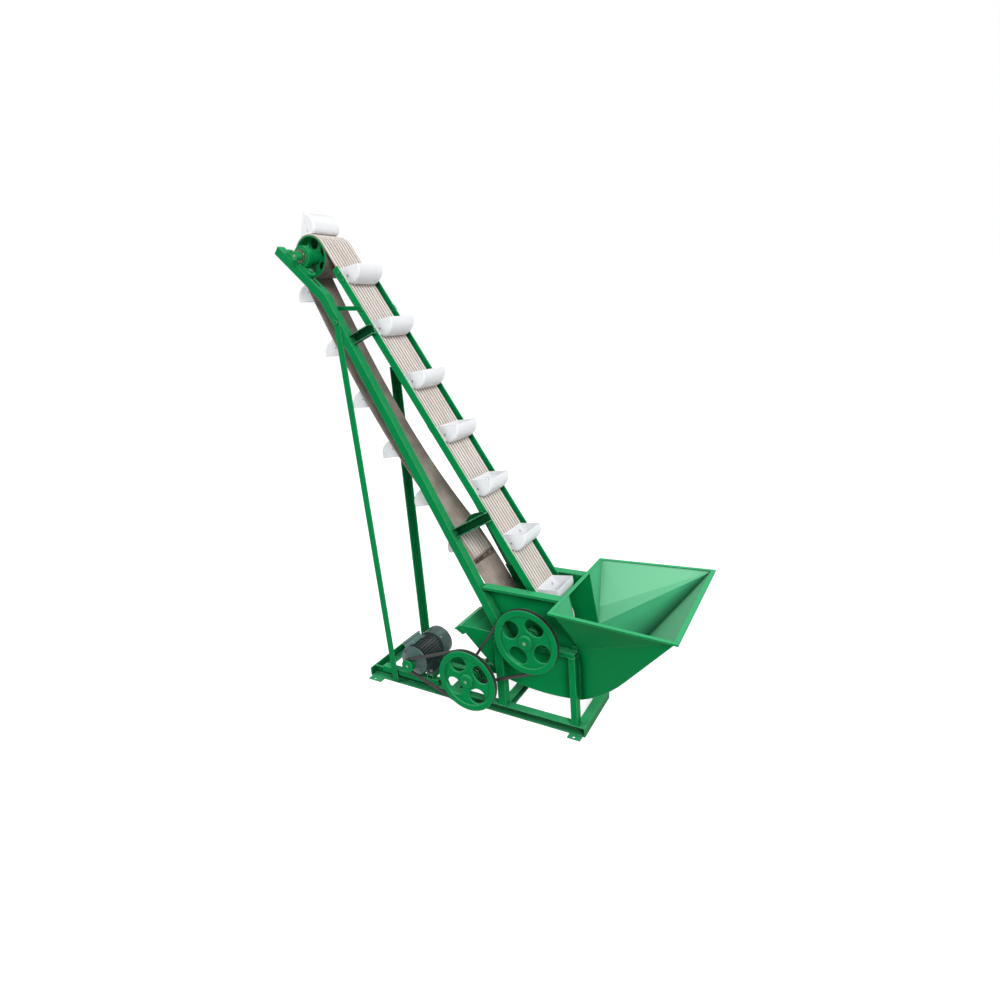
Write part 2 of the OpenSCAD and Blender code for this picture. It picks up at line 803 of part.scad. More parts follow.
module motor_frame() {
    color("darkslategray") difference() {
        union() {
            rod_y(motor_x, motor_z, motor_body_y[0], motor_body_y[1], motor_frame_radius);
            for (i = [0:fin_count - 1]) if (abs(i - 27) > 4 && abs(i - 13) > 3)
                along([motor_x, motor_z], i * 360 / fin_count)
                    block([motor_frame_radius - 2, motor_frame_radius + fin_height],
                        [motor_body_y[0] + 8, motor_body_y[1] - 4],
                        [-fin_wall / 2, fin_wall / 2]);
            for (s = [-1, 1]) {
                block([motor_x + s * foot_hole_x - 18, motor_x + s * foot_hole_x + 18],
                    [-152, 20], [slide_top, slide_top + 9]);
                block([motor_x + s * 44 - 8, motor_x + s * 44 + 8],
                    [-150, -40], [slide_top + 9, slide_top + 36]);
            }
        }
        for (s = [-1, 1], y = foot_hole_y)
            translate([motor_x + s * foot_hole_x, y, slide_top - over])
                cylinder(h = 12, r = motor_bolt_radius + fit);
        rod_y(motor_x, motor_z, motor_body_y[0] - over, motor_body_y[1] + over,
            shaft_radius_motor + 3);
    }
}

// A profile of radius and distance towards the near side, turned round the motor's axis
module motor_turning(y) {
    translate([motor_x, y, motor_z]) rotate([90, 0, 0]) rotate_extrude() children();
}

module motor_end_shield() {
    bore = shaft_radius_motor + fit;
    color("slategray") {
        motor_turning(motor_body_y[0]) polygon([
            [bore, 0], [76, 0], [76, 11], [72, 14], [64, 15.5], [55, 16.5], [47, 20],
            [40, 22.5], [34, 23.2], [32, 28], [bore, 28]
        ]);
        for (a = [45, 135, 225, 315])
            translate([motor_x, 0, motor_z]) rotate([0, a, 0])
                rod_y(66, 0, motor_body_y[0] - 15.5, motor_body_y[0], 9.5);
    }
}

cowl_length = 75;

module motor_cowl() {
    color("slategray") motor_turning(motor_body_y[1]) polygon(concat(
        [[0, 0], [cowl_radius, 0], [cowl_radius, 8 - cowl_length],
            [cowl_radius - 1, 3.5 - cowl_length], [cowl_radius - 4, 0.8 - cowl_length],
            [cowl_radius - 8, -cowl_length]],
        [for (r = [64 : -8 : 24]) each [
            [r, -cowl_length], [r, 3 - cowl_length],
            [r - 4, 3 - cowl_length], [r - 4, -cowl_length]
        ]],
        [[0, -cowl_length]]
    ));
}

module motor_terminal_box() {
    color("slategray") difference() {
        along([motor_x, motor_z], 128) {
            block([motor_frame_radius - 6, motor_frame_radius + 30], [-156, -74], [-40, 40]);
            block([motor_frame_radius + 30, motor_frame_radius + 38], [-158, -72], [-42, 42]);
        }
        rod_y(motor_x, motor_z, motor_body_y[0], motor_body_y[1], motor_frame_radius);
    }
}

module motor_bolts() {
    color("dimgray") for (s = [-1, 1], y = foot_hole_y)
        translate([motor_x + s * foot_hole_x, y, slide_top - 4]) bolt_up(13, motor_bolt_radius);
}

module motor_shaft() {
    color("silver") rod_y(motor_x, motor_z, first_belt_y - 15, motor_body_y[1] - 5,
        shaft_radius_motor);
}

// Grooved pulleys

belt_top = 8.2;
belt_low = 5.4;
belt_depth = 11;
belt_proud = 1.5;

module groove(r, x, z, y) {
    translate([x, y, z]) rotate([90, 0, 0]) rotate_extrude() polygon([
        [r + 1, -belt_top - 1], [r + 1, belt_top + 1],
        [r - belt_depth - 1, belt_low + 0.6], [r - belt_depth - 1, -belt_low - 0.6]
    ]);
}

// A large spoked disc: rim, recessed web with four round windows, and a hub
module large_pulley(x, z, y, front, back, hub_front, turn) {
    window = 37;
    window_long = 9;
    window_at = 86;
    color("green") difference() {
        union() {
            difference() {
                rod_y(x, z, front, back, large_pulley_radius);
                rod_y(x, z, front - over, back + over, large_pulley_radius - 26);
            }
            rod_y(x, z, y - 5, y + 5, large_pulley_radius - 25);
            rod_y(x, z, hub_front, back + 4, 32);
        }
        groove(large_pulley_radius, x, z, y);
        rod_y(x, z, hub_front - over, back + 10, drive_shaft_radius + fit);
        for (a = [turn : 90 : turn + 270])
            translate([x, 0, z]) rotate([0, -a, 0]) {
                for (s = [-1, 1])
                    rod_y(window_at, s * window_long, y - 20, y + 20, window);
                block([window_at - window, window_at + window], [y - 20, y + 20],
                    [-window_long, window_long]);
            }
    }
}

module counter_large_pulley() {
    large_pulley(counter_x, counter_z, first_belt_y, first_belt_y - 14,
        first_belt_y + 12, first_belt_y - 18, 32);
}

module boot_v_pulley() {
    large_pulley(boot_x, boot_z, second_belt_y, second_belt_y - 13,
        second_belt_y + 13, second_belt_y - 18, 60);
}

module plain_pulley(x, z, y, half, r, bore) {
    color("green") difference() {
        rod_y(x, z, y - half, y + half, r);
        groove(r, x, z, y);
        rod_y(x, z, y - half - over, y + half + over, bore + fit);
    }
}

module counter_small_pulley() {
    plain_pulley(counter_x, counter_z, second_belt_y, 11, small_pulley_radius,
        drive_shaft_radius);
}

module motor_pulley() {
    plain_pulley(motor_x, motor_z, first_belt_y, 13, motor_pulley_radius,
        shaft_radius_motor);
}

// A belt round two pulleys in one plane, swept as one closed ring of wedge sections
module drive_belt(big, big_r, small, small_r, y) {
    span = small - big;
    distance = norm(span);
    heading = atan2(span[1], span[0]);
    opening = acos((big_r - small_r) / distance);
    big_steps = 44;
    small_steps = 14;
    stations = concat(
        [for (i = [0:big_steps]) [big, big_r,
            heading + opening + (360 - 2 * opening) * i / big_steps]],
        [for (i = [0:small_steps]) [small, small_r,
            heading - opening + 2 * opening * i / small_steps]]
    );
    count = len(stations);
    function at(s, depth, half) = let (p = s[0] + [cos(s[2]), sin(s[2])] * (s[1] - depth))
        [p[0], y + half, p[1]];
    color("dimgray") polyhedron(
        points = [for (s = stations) each [
            at(s, 0, -belt_top), at(s, 0, belt_top),
            at(s, belt_depth, belt_low), at(s, belt_depth, -belt_low)
        ]],
        faces = [for (i = [0:count - 1], k = [0:3]) let (j = (i + 1) % count, m = (k + 1) % 4)
            [i * 4 + m, i * 4 + k, j * 4 + k, j * 4 + m]]
    );
}

module first_drive_belt() {
    drive_belt([counter_x, counter_z], large_pulley_radius + belt_proud,
        [motor_x, motor_z], motor_pulley_radius + belt_proud, first_belt_y);
}

module second_drive_belt() {
    drive_belt([boot_x, boot_z], large_pulley_radius + belt_proud,
        [counter_x, counter_z], small_pulley_radius + belt_proud, second_belt_y);
}

// Shafts and drums

ring_half = 17;

module shaft_with_rings(x, z, r, y0, y1, ring_at) {
    rod_y(x, z, y0, y1, r);
    for (y = ring_at) rod_y(x, z, y - ring_half, y + ring_half, r + inner_ring);
}

module counter_shaft() {
    color("silver") shaft_with_rings(counter_x, counter_z, drive_shaft_radius,
        first_belt_y - 22, bearing_y + 28, [-bearing_y, bearing_y]);
}

module boot_shaft() {
    color("silver") shaft_with_rings(boot_x, boot_z, drive_shaft_radius,
        second_belt_y - 22, bearing_y + 28, [-bearing_y, bearing_y]);
}

module head_shaft() {
    color("silver") shaft_with_rings(head_x, head_z, head_shaft_radius,
        -192, bearing_y + 30, [-bearing_y, bearing_y]);
}

// A welded drum: shell, two end discs with windows, and a hub
module drum(x, z, r, half, shaft_r, windows) {
    shell = 6;
    hub = 31;
    disc_y = half - 38;
    color("green") difference() {
        union() {
            difference() {
                rod_y(x, z, -half, half, r);
                rod_y(x, z, -half - over, half + over, r - shell);
            }
            for (s = [-1, 1])
                rod_y(x, z, s * disc_y - 3, s * disc_y + 3, r - shell + 0.5);
            rod_y(x, z, -half - 6, half + 6, hub);
        }
        rod_y(x, z, -half - 10, half + 10, shaft_r + fit);
        for (i = [0:windows - 1]) {
            a = 18 + i * 360 / windows;
            at = (r - shell + hub) / 2;
            rod_y(x + at * cos(a), z + at * sin(a), -half, half, (r - shell - hub) / 2 - 4);
        }
    }
}

module head_drum() {
    drum(head_x, head_z, head_drum_radius, 96, head_shaft_radius, 5);
}

module boot_drum() {
    drum(boot_x, boot_z, boot_drum_radius, 96, drive_shaft_radius, 5);
}

// Bucket belt

arc_step = 3;

// Points round a drum between two angles, in equal steps
function arc_points(centre, r, from, to) =
    let (n = ceil(abs(to - from) / arc_step))
    [for (i = [0:n]) let (a = from + (to - from) * i / n)
        centre + [cos(a), sin(a)] * r];

// The whole loop at a distance outside its inner face
function loop_points(d) = concat(
    arc_points(head_axis, head_belt_inner + d, 270 - head_leave, 90 - run_angle),
    arc_points(boot_axis, boot_belt_inner + d, 90 - run_angle, -90 - boot_arrive),
    [for (i = [sag_steps - 1:-1:1]) sag_point(i / sag_steps) + sag_out(i / sag_steps) * d]
);

carry_top = head_axis + out * head_belt_inner;
carry_low = boot_axis + out * boot_belt_inner;

module bucket_belt() {
    color("antiquewhite") slab(-belt_half_width, belt_half_width) difference() {
        polygon(loop_points(belt_thickness));
        polygon(loop_points(0));
    }
}

// Buckets: drawn with X out of the belt and Z against the way the mouth faces

module bucket_outline(inset) {
    polygon([
        [inset, -inset * 1.2], [97 - inset * 1.2, -46 - inset * 0.2],
        [96 - inset * 1.1, -52], [91 - inset, -66 + inset * 0.3],
        [82 - inset * 0.8, -78 + inset * 0.6], [69 - inset * 0.5, -87 + inset * 0.8],
        [52 - inset * 0.3, -93.5 + inset], [35, -96 + inset],
        [20 + inset * 0.3, -95 + inset], [8 + inset * 0.6, -90 + inset * 0.8],
        [inset, -80 + inset * 0.4]
    ]);
}

module bucket() {
    half = bucket_width / 2;
    difference() {
        slab(-half, half) bucket_outline(0);
        slab(-half + bucket_wall, half - bucket_wall) bucket_outline(bucket_wall);
        slab(-half + bucket_wall, half - bucket_wall)
            polygon([[bucket_wall, -4], [93, -46.5], [98, -44], [50, 20], [bucket_wall, 8]]);
    }
}

// Buckets are placed by the middle of their backs, a film of air off the belt
back_middle = 49;
back_off = belt_thickness + 0.02;

module place_on_run(k) {
    at = carry_start + down * (k * bucket_pitch) + out * back_off;
    translate([at[0], 0, at[1]]) rotate([0, -(90 - run_angle), 0]) children();
}

carry_start = carry_top + down * 140;
run_count = 7;

module place_on_head() {
    a = 95;
    at = head_axis + [cos(a), sin(a)] * (head_belt_inner + back_off);
    translate([at[0], 0, at[1]]) rotate([0, -a, 0])
        translate([0, 0, back_middle]) children();
}

boot_angles = [-41, -135];
module place_on_boot(a) {
    at = boot_axis + [cos(a), sin(a)] * (boot_belt_inner + back_off);
    translate([at[0], 0, at[1]]) rotate([0, -a, 0])
        translate([0, 0, back_middle]) children();
}

// Places along the return run, as parts of the whole curve from head to boot
return_places = [0.059, 0.2, 0.335, 0.47, 0.605, 0.74, 0.877];

// Where the run curves outwards, a flat back rests on its two ends and lifts by this much
function sag_speed(t) = norm(sag_slope(t)) / (t < sag_joint ? sag_joint : 1 - sag_joint);
function back_lift(t) = let (step = back_middle / sag_speed(t))
    max([0, for (s = [-1, 1]) (sag_point(t + s * step) - sag_point(t)) * sag_out(t)]);

module place_on_return(t) {
    at = sag_point(t) + sag_out(t) * (back_off + back_lift(t));
    angle = atan2(sag_out(t)[1], sag_out(t)[0]);
    translate([at[0], 0, at[1]]) rotate([0, -angle, 0])
        translate([0, 0, back_middle]) children();
}

module carrying_buckets() {
    color("whitesmoke") {
        for (k = [0:run_count - 1]) place_on_run(k) bucket();
        for (a = boot_angles) place_on_boot(a) bucket();
    }
}

module return_buckets() {
    color("whitesmoke") for (t = return_places) place_on_return(t) bucket();
}

module head_bucket() {
    color("whitesmoke") place_on_head() bucket();
}

module bucket_bolt_pair() {
    for (y = [-45, 45]) translate([bucket_wall, y, -30]) rotate([0, 90, 0])
        cylinder(h = 3, r = 7);
}

module bucket_bolts() {
    color("silver") {
        for (k = [0:run_count - 1]) place_on_run(k) bucket_bolt_pair();
        for (a = boot_angles) place_on_boot(a) bucket_bolt_pair();
        for (t = return_places) place_on_return(t) bucket_bolt_pair();
        place_on_head() bucket_bolt_pair();
    }
}

base_rail(-1);  // base_rail_near
base_rail(1);  // base_rail_far
base_end_left();
base_end_right();
base_cross_members();
foot_tabs();
motor_bed_rails();
motor_slide_rails();
posts(-1);  // posts_near
posts(1);  // posts_far
bearing_rail(-1);  // bearing_rail_near
bearing_rail(1);  // bearing_rail_far
counter_stands();
union() {  // back_leg_near
    back_leg(-1, near_leg_top, near_leg_foot, bed_top, 1640);
}
union() {  // back_leg_far
    back_leg(1, far_leg_top, far_leg_foot, section_wall, 1600);
}
lower_rail(-1, near_leg_top);  // lower_rail_near
lower_rail(1, far_leg_top);  // lower_rail_far
upper_rail(-1);  // upper_rail_near
upper_rail(1);  // upper_rail_far
short_rail_ties();
channel_ties();
belt_cross_ties();
boot_side(-1);  // boot_side_near
boot_side(1);  // boot_side_far
boot_bottom();
scoop_lip();
boot_rims();
hopper_side(-1);  // hopper_side_near
hopper_side(1);  // hopper_side_far
hopper_bottom();
hopper_rim();
boot_bearings();
counter_bearings();
head_bearings();
frame_bolts();
bearing_bolts();
motor_frame();
motor_end_shield();
motor_cowl();
motor_terminal_box();
motor_bolts();
motor_shaft();
motor_pulley();
counter_shaft();
counter_large_pulley();
counter_small_pulley();
boot_shaft();
boot_v_pulley();
boot_drum();
head_shaft();
head_drum();
first_drive_belt();
second_drive_belt();
bucket_belt();
carrying_buckets();
return_buckets();
head_bucket();
bucket_bolts();
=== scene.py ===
import math

import bmesh
import bpy
from mathutils import Matrix, Vector


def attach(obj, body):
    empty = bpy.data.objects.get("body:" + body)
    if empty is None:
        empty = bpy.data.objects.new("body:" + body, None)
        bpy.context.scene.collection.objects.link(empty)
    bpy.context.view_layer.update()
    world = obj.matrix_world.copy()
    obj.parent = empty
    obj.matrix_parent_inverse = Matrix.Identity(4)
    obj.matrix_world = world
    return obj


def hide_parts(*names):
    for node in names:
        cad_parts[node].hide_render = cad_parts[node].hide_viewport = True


bl_info = {
    "name": "Tyre Elevator",
    "version": (1, 0, 0),
    "blender": (4, 5, 0),
    "location": "3D View > Sidebar > Elevator",
    "description": "Builds the finished look of an inclined bucket elevator round its packed frame",
    "category": "Object",
}

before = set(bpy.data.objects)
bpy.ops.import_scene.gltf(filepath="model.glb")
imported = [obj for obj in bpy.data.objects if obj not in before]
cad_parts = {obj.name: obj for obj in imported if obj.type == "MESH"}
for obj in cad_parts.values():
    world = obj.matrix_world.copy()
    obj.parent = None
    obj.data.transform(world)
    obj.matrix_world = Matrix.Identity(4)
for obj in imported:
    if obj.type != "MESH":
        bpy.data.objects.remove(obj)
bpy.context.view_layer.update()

MM = 0.001
QUARTER = math.pi / 2

# Axes of the shafts in side view, as X and Z in metres
BOOT_AXIS = Vector((0.370, 0.436))
COUNTER_AXIS = Vector((0.065, 0.188))
MOTOR_AXIS = Vector((-0.280, 0.182))
HEAD_AXIS = Vector((-0.6775, 2.129))

# Nodes of the part that keep their meshes, by paint; ELEVATOR_OT_paint_frame names the others
FRAME_STEEL = [
    "base_end_left", "base_end_right", "base_cross_members", "foot_tabs", "motor_bed_rails",
    "motor_slide_rails", "counter_stands", "upper_rail_near", "belt_cross_ties",
] + [part + side for side in ("_near", "_far")
     for part in ("base_rail", "posts", "bearing_rail", "back_leg", "lower_rail")]
FRAME_SHEET = [
    "boot_side_near", "boot_side_far", "boot_bottom", "scoop_lip", "boot_rims", "hopper_rim",
]
CASTINGS = [
    "boot_bearings", "counter_bearings", "head_bearings", "boot_v_pulley",
    "counter_large_pulley", "counter_small_pulley", "motor_pulley",
]


# ---- settings ----

def colour_setting(name, description, default):
    return bpy.props.FloatVectorProperty(name=name, description=description, subtype="COLOR",
                                         size=3, min=0, max=1, default=default)


def length_setting(name, description, default, low, high):
    return bpy.props.FloatProperty(name=name, description=description, default=default,
                                   min=low, max=high, unit="LENGTH")


class ElevatorPaint(bpy.types.PropertyGroup):
    green: colour_setting("Frame green", "Colour of the frame's paint", (0.0006, 0.200, 0.053))
    cast_green: colour_setting("Casting green", "Colour of the painted castings",
                               (0.0006, 0.205, 0.056))
    # The edge green lightens the edges: partly worn paint, partly a painted highlight.
    edge_wear_and_highlight_green: colour_setting("Edge green", "Colour of the thinned paint along edges",
                               (0.22, 0.62, 0.36))
    edge_width: length_setting("Edge width", "Width of the worn paint along edges",
                               0.0032, 0.0005, 0.01)
    rounding: length_setting("Edge rounding", "Radius of the rolled edges",
                             0.0009, 0.0001, 0.003)


class ElevatorBelt(bpy.types.PropertyGroup):
    ribs: bpy.props.IntProperty(
        name="Ribs", description="Ribs across the carrying face", default=10, min=4, max=24)
    thickness: length_setting("Thickness", "Thickness of the bucket belt", 0.006, 0.003, 0.01)
    groove: length_setting("Groove width", "Width of the grooves between the ribs",
                           0.0046, 0.001, 0.008)
    rib_colour: colour_setting("Rib colour", "Colour of the ribs", (0.70, 0.665, 0.63))
    groove_colour: colour_setting("Groove colour", "Colour of the dirt in the grooves",
                                  (0.10, 0.055, 0.04))
    back_colour: colour_setting("Back colour", "Colour of the belt's inner face",
                                (0.50, 0.425, 0.375))


class ElevatorBucket(bpy.types.PropertyGroup):
    half_width: length_setting("Half width", "Half of a bucket's width across the belt",
                               0.082, 0.05, 0.085)
    corner: length_setting("Corner radius", "Radius of the moulded corners", 0.010, 0.005, 0.03)
    wall: length_setting("Wall", "Thickness of the moulded wall", 0.0032, 0.002, 0.005)
    colour: colour_setting("Plastic", "Colour of the moulded plastic", (0.775, 0.787, 0.81))


class ElevatorMotor(bpy.types.PropertyGroup):
    housing: colour_setting("Housing grey", "Colour of the motor's housing",
                            (0.030, 0.056, 0.054))
    cowl: colour_setting("Cowl grey", "Colour of the fan cowl", (0.048, 0.096, 0.086))
    rubber: colour_setting("V-belt rubber", "Colour of the drive belts", (0.011, 0.010, 0.0105))


class ElevatorStage(bpy.types.PropertyGroup):
    ambient: bpy.props.FloatProperty(
        name="Ambient", description="Strength of the even light", default=0.42, min=0, max=3)
    key: bpy.props.FloatProperty(
        name="Key light", description="Power of the large lamp", default=1150.0, min=0,
        max=5000, unit="POWER")


class ElevatorSettings(bpy.types.PropertyGroup):
    paint: bpy.props.PointerProperty(type=ElevatorPaint)
    belt: bpy.props.PointerProperty(type=ElevatorBelt)
    bucket: bpy.props.PointerProperty(type=ElevatorBucket)
    motor: bpy.props.PointerProperty(type=ElevatorMotor)
    stage: bpy.props.PointerProperty(type=ElevatorStage)


def settings():
    return bpy.context.scene.tyre_elevator


# ---- shader nodes ----

class Nodes:
    """Short ways to add nodes to a shader tree."""

    def __init__(self, tree):
        self.tree = tree

    def new(self, kind):
        return self.tree.nodes.new("ShaderNode" + kind)

    def put(self, value, socket):
        """Link an output to the socket, or set the socket to a number or a colour."""
        if hasattr(value, "is_linked"):
            self.tree.links.new(value, socket)
        elif hasattr(value, "__len__"):
            socket.default_value = (*value[:3], 1.0)
        else:
            socket.default_value = value

    def math(self, operation, first, second=None, clamp=False):
        node = self.new("Math")
        node.operation = operation
        node.use_clamp = clamp
        for index, value in enumerate((first, second)):
            if value is not None:
                self.put(value, node.inputs[index])
        return node.outputs[0]

    def add(self, first, second, clamp=False):
        return self.math("ADD", first, second, clamp)

    def times(self, first, second, clamp=False):
        return self.math("MULTIPLY", first, second, clamp)

    def coordinates(self):
        return self.new("TexCoord").outputs["Object"]

    def noise(self, scale, detail=3.0, roughness=0.55, vector=None):
        node = self.new("TexNoise")
        self.put(scale, node.inputs["Scale"])
        self.put(detail, node.inputs["Detail"])
        self.put(roughness, node.inputs["Roughness"])
        self.put(vector or self.coordinates(), node.inputs["Vector"])
        return node.outputs["Fac"]

    def ramp(self, value, low, high):
        node = self.new("MapRange")
        self.put(low, node.inputs["From Min"])
        self.put(high, node.inputs["From Max"])
        self.put(value, node.inputs["Value"])
        return node.outputs["Result"]

    def cloud(self, low, high, *noise):
        """Noise with its contrast raised between two levels."""
        return self.ramp(self.noise(*noise), low, high)

    def mix(self, factor, first, second):
        node = self.new("Mix")
        node.data_type = "RGBA"
        self.put(factor, node.inputs["Factor"])
        for label, value in (("A", first), ("B", second)):
            self.put(value, next(s for s in node.inputs if s.name == label and s.type == "RGBA"))
        return next(s for s in node.outputs if s.type == "RGBA")

    def scaled_value(self, colour, value):
        node = self.new("HueSaturation")
        self.put(colour, node.inputs["Color"])
        self.put(value, node.inputs["Value"])
        return node.outputs["Color"]

    def parts_of(self, vector):
        node = self.new("SeparateXYZ")
        self.put(vector, node.inputs[0])
        return node.outputs

    def normal(self):
        return self.parts_of(self.new("NewGeometry").outputs["Normal"])

    def from_axis(self, axis):
        """Distance from a shaft's axis, in metres, and the place along it."""
        place = self.parts_of(self.coordinates())
        across = self.math("SUBTRACT", place["X"], axis[0])
        upward = self.math("SUBTRACT", place["Z"], axis[1])
        square = self.add(self.times(across, across), self.times(upward, upward))
        return self.math("SQRT", square), place["Y"]

    def camera_share(self):
        """1 for rays that see the backdrop straight, in gloss or through glass, else 0."""
        rays = self.new("LightPath").outputs
        seen = self.add(rays["Is Camera Ray"], rays["Is Glossy Ray"])
        return self.add(seen, rays["Is Transmission Ray"], clamp=True)


# ---- shared node groups ----

def new_group(name, inputs, outputs):
    """A group's tools, what it is given and what it results in."""
    group = bpy.data.node_groups.new(name, "ShaderNodeTree")
    for label, value in inputs.items():
        kind = "NodeSocketColor" if hasattr(value, "__len__") else "NodeSocketFloat"
        socket = group.interface.new_socket(name=label, in_out="INPUT", socket_type=kind)
        socket.default_value = value
    for label, kind in outputs.items():
        group.interface.new_socket(name=label, in_out="OUTPUT", socket_type=kind)
    given = group.nodes.new("NodeGroupInput").outputs
    return Nodes(group), given, group.nodes.new("NodeGroupOutput").inputs


def edge_wear_group():
    """Mask of the edges where paint is rubbed thin and a painted highlight lightens them, broken up
    by noise.
    """
    nodes, given, result = new_group("Edge Wear And Highlight", {"Width": 0.003, "Amount": 0.6},
                                     {"Mask": "NodeSocketFloat"})
    bevel = nodes.new("Bevel")
    bevel.samples = 4
    nodes.put(given["Width"], bevel.inputs["Radius"])
    dot = nodes.new("VectorMath")
    dot.operation = "DOT_PRODUCT"
    nodes.put(bevel.outputs["Normal"], dot.inputs[0])
    nodes.put(nodes.new("NewGeometry").outputs["Normal"], dot.inputs[1])
    edge = nodes.ramp(nodes.math("SUBTRACT", 1.0, dot.outputs["Value"]), 0.004, 0.12)
    patchy = nodes.times(edge, nodes.cloud(0.24, 0.58, 55.0, 4.0))
    nodes.put(nodes.times(patchy, given["Amount"], clamp=True), result["Mask"])
    return nodes.tree


def paint_tone_group():
    """Brushed-on paint: broad patches, painted shade in recesses, a paler painted highlight and
    dust on upper faces.
    """
    nodes, given, result = new_group(
        "Paint Tone And Painted Light",
        {"Colour": (0.01, 0.2, 0.07, 1), "Patches": 0.12, "Dust": 0.1, "Film": 0.4,
         "Film Colour": (0.05, 0.5, 0.2, 1)},
        {"Colour": "NodeSocketColor", "Roughness": "NodeSocketFloat"})
    broad = nodes.cloud(0.3, 0.7, 3.2, 4.0)
    swing = nodes.times(nodes.math("SUBTRACT", broad, 0.5), given["Patches"])
    patched = nodes.scaled_value(given["Colour"], nodes.add(1.0, swing))
    up = nodes.normal()["Z"]
    speck = nodes.cloud(0.42, 0.72, 38.0, 6.0, 0.7)
    dust = nodes.times(nodes.times(up, speck), given["Dust"], clamp=True)
    # Upper faces are made paler: a painted highlight, as if lit from above.
    toplight = nodes.times(nodes.ramp(up, 0.1, 0.95), given["Film"], clamp=True)
    toplit = nodes.mix(toplight, patched, given["Film Colour"])
    dust_and_toplight = nodes.mix(dust, toplit, (0.30, 0.42, 0.33))
    # Faces in recesses and between parts are darkened: painted shade.
    shade_probe = nodes.new("AmbientOcclusion")
    shade_probe.samples = 6
    nodes.put(0.07, shade_probe.inputs["Distance"])
    unshaded = nodes.ramp(shade_probe.outputs["AO"], 0.25, 0.85)
    nodes.put(nodes.mix(unshaded, nodes.scaled_value(dust_and_toplight, 0.30), dust_and_toplight), result["Colour"])
    rough = nodes.add(0.38, nodes.times(broad, 0.14))
    nodes.put(nodes.add(rough, dust), result["Roughness"])
    return nodes.tree


def surface_grain_group():
    """Fine height for orange peel, casting skin, moulding or rubber."""
    nodes, given, result = new_group("Surface Grain", {"Scale": 400.0, "Coarse": 0.3},
                                     {"Height": "NodeSocketFloat"})
    coordinates = nodes.coordinates()
    fine = nodes.noise(given["Scale"], 2.0, 0.5, coordinates)
    coarse = nodes.times(nodes.noise(60.0, 3.0, 0.5, coordinates), given["Coarse"])
    nodes.put(nodes.add(fine, coarse), result["Height"])
    return nodes.tree


def node_group(name):
    """Each shared effect is built once and then reused."""
    makers = {"Edge Wear And Highlight": edge_wear_group, "Paint Tone And Painted Light": paint_tone_group,
              "Surface Grain": surface_grain_group}
    return bpy.data.node_groups.get(name) or makers[name]()


# ---- materials ----

def scaled(colour, share):
    """A colour made darker or lighter as a whole."""
    return tuple(c * share for c in colour)


class Finish(Nodes):
    """A new material with its shader and short ways to feed it."""

    def __init__(self, name, roughness=0.4, specular=0.5):
        self.material = bpy.data.materials.new(name)
        self.material.use_nodes = True
        super().__init__(self.material.node_tree)
        self.shader = self.tree.nodes["Principled BSDF"]
        self.feed(roughness, "Roughness")
        self.feed(specular, "Specular IOR Level")

    def feed(self, value, socket):
        self.put(value, self.shader.inputs[socket])

    def place(self, name, **values):
        """A shared effect with this material's own values; _ in a label stands for a space."""
        node = self.new("Group")
        node.node_tree = node_group(name)
        for label, value in values.items():
            self.put(value, node.inputs[label.replace("_", " ")])
        return node

    def bump(self, height, strength, distance):
        node = self.new("Bump")
        self.put(strength, node.inputs["Strength"])
        self.put(distance, node.inputs["Distance"])
        self.put(height, node.inputs["Height"])
        self.feed(node.outputs["Normal"], "Normal")

    def grain(self, scale, coarse, strength, distance):
        height = self.place("Surface Grain", Scale=scale, Coarse=coarse).outputs["Height"]
        self.bump(height, strength, distance)


def paint_finish(name, colour, edge_wear_and_highlight, patches, dust, grain=420.0, coarse=0.5, depth=0.0003,
                 toplight=0.55, toplight_colour=(0.05, 0.50, 0.20), inside=0.0):
    """Paint; inside is the sign of Y towards the inner faces of a hopper sheet, which get a painted
    pale glow.
    """
    look = Finish(name, specular=0.035)
    paint = settings().paint
    # Inner faces turned upwards and towards +X are made paler: a painted glow.
    if inside:
        turn = look.normal()
        glow_facing = look.add(turn["X"], look.times(turn["Y"], inside))
        glow_facing = look.add(glow_facing, look.times(turn["Z"], 2.0))
        colour = look.mix(look.ramp(glow_facing, 0.1, 0.3), colour, (0.07, 0.42, 0.21))
    tone_and_light = look.place("Paint Tone And Painted Light", Colour=colour, Patches=patches, Dust=dust, Film=toplight,
                      Film_Colour=toplight_colour)
    edge = look.place("Edge Wear And Highlight", Width=paint.edge_width, Amount=edge_wear_and_highlight)
    # Edges get a lighter green: partly worn paint, partly a painted highlight.
    look.feed(look.mix(edge.outputs["Mask"], tone_and_light.outputs["Colour"], tuple(paint.edge_wear_and_highlight_green)),
              "Base Color")
    look.feed(tone_and_light.outputs["Roughness"], "Roughness")
    look.grain(grain, coarse, 0.35, depth)
    return look.material


def steel_finish(name, colour, rust):
    look = Finish(name)
    patch = look.times(look.cloud(0.52, 0.66, 90.0, 6.0, 0.7), rust)
    look.feed(look.mix(patch, colour, (0.22, 0.11, 0.06)), "Base Color")
    look.feed(look.math("SUBTRACT", 0.8, patch, clamp=True), "Metallic")
    look.feed(look.add(0.30, look.times(patch, 0.5)), "Roughness")
    look.grain(700.0, 0.2, 0.3, 0.0002)
    return look.material


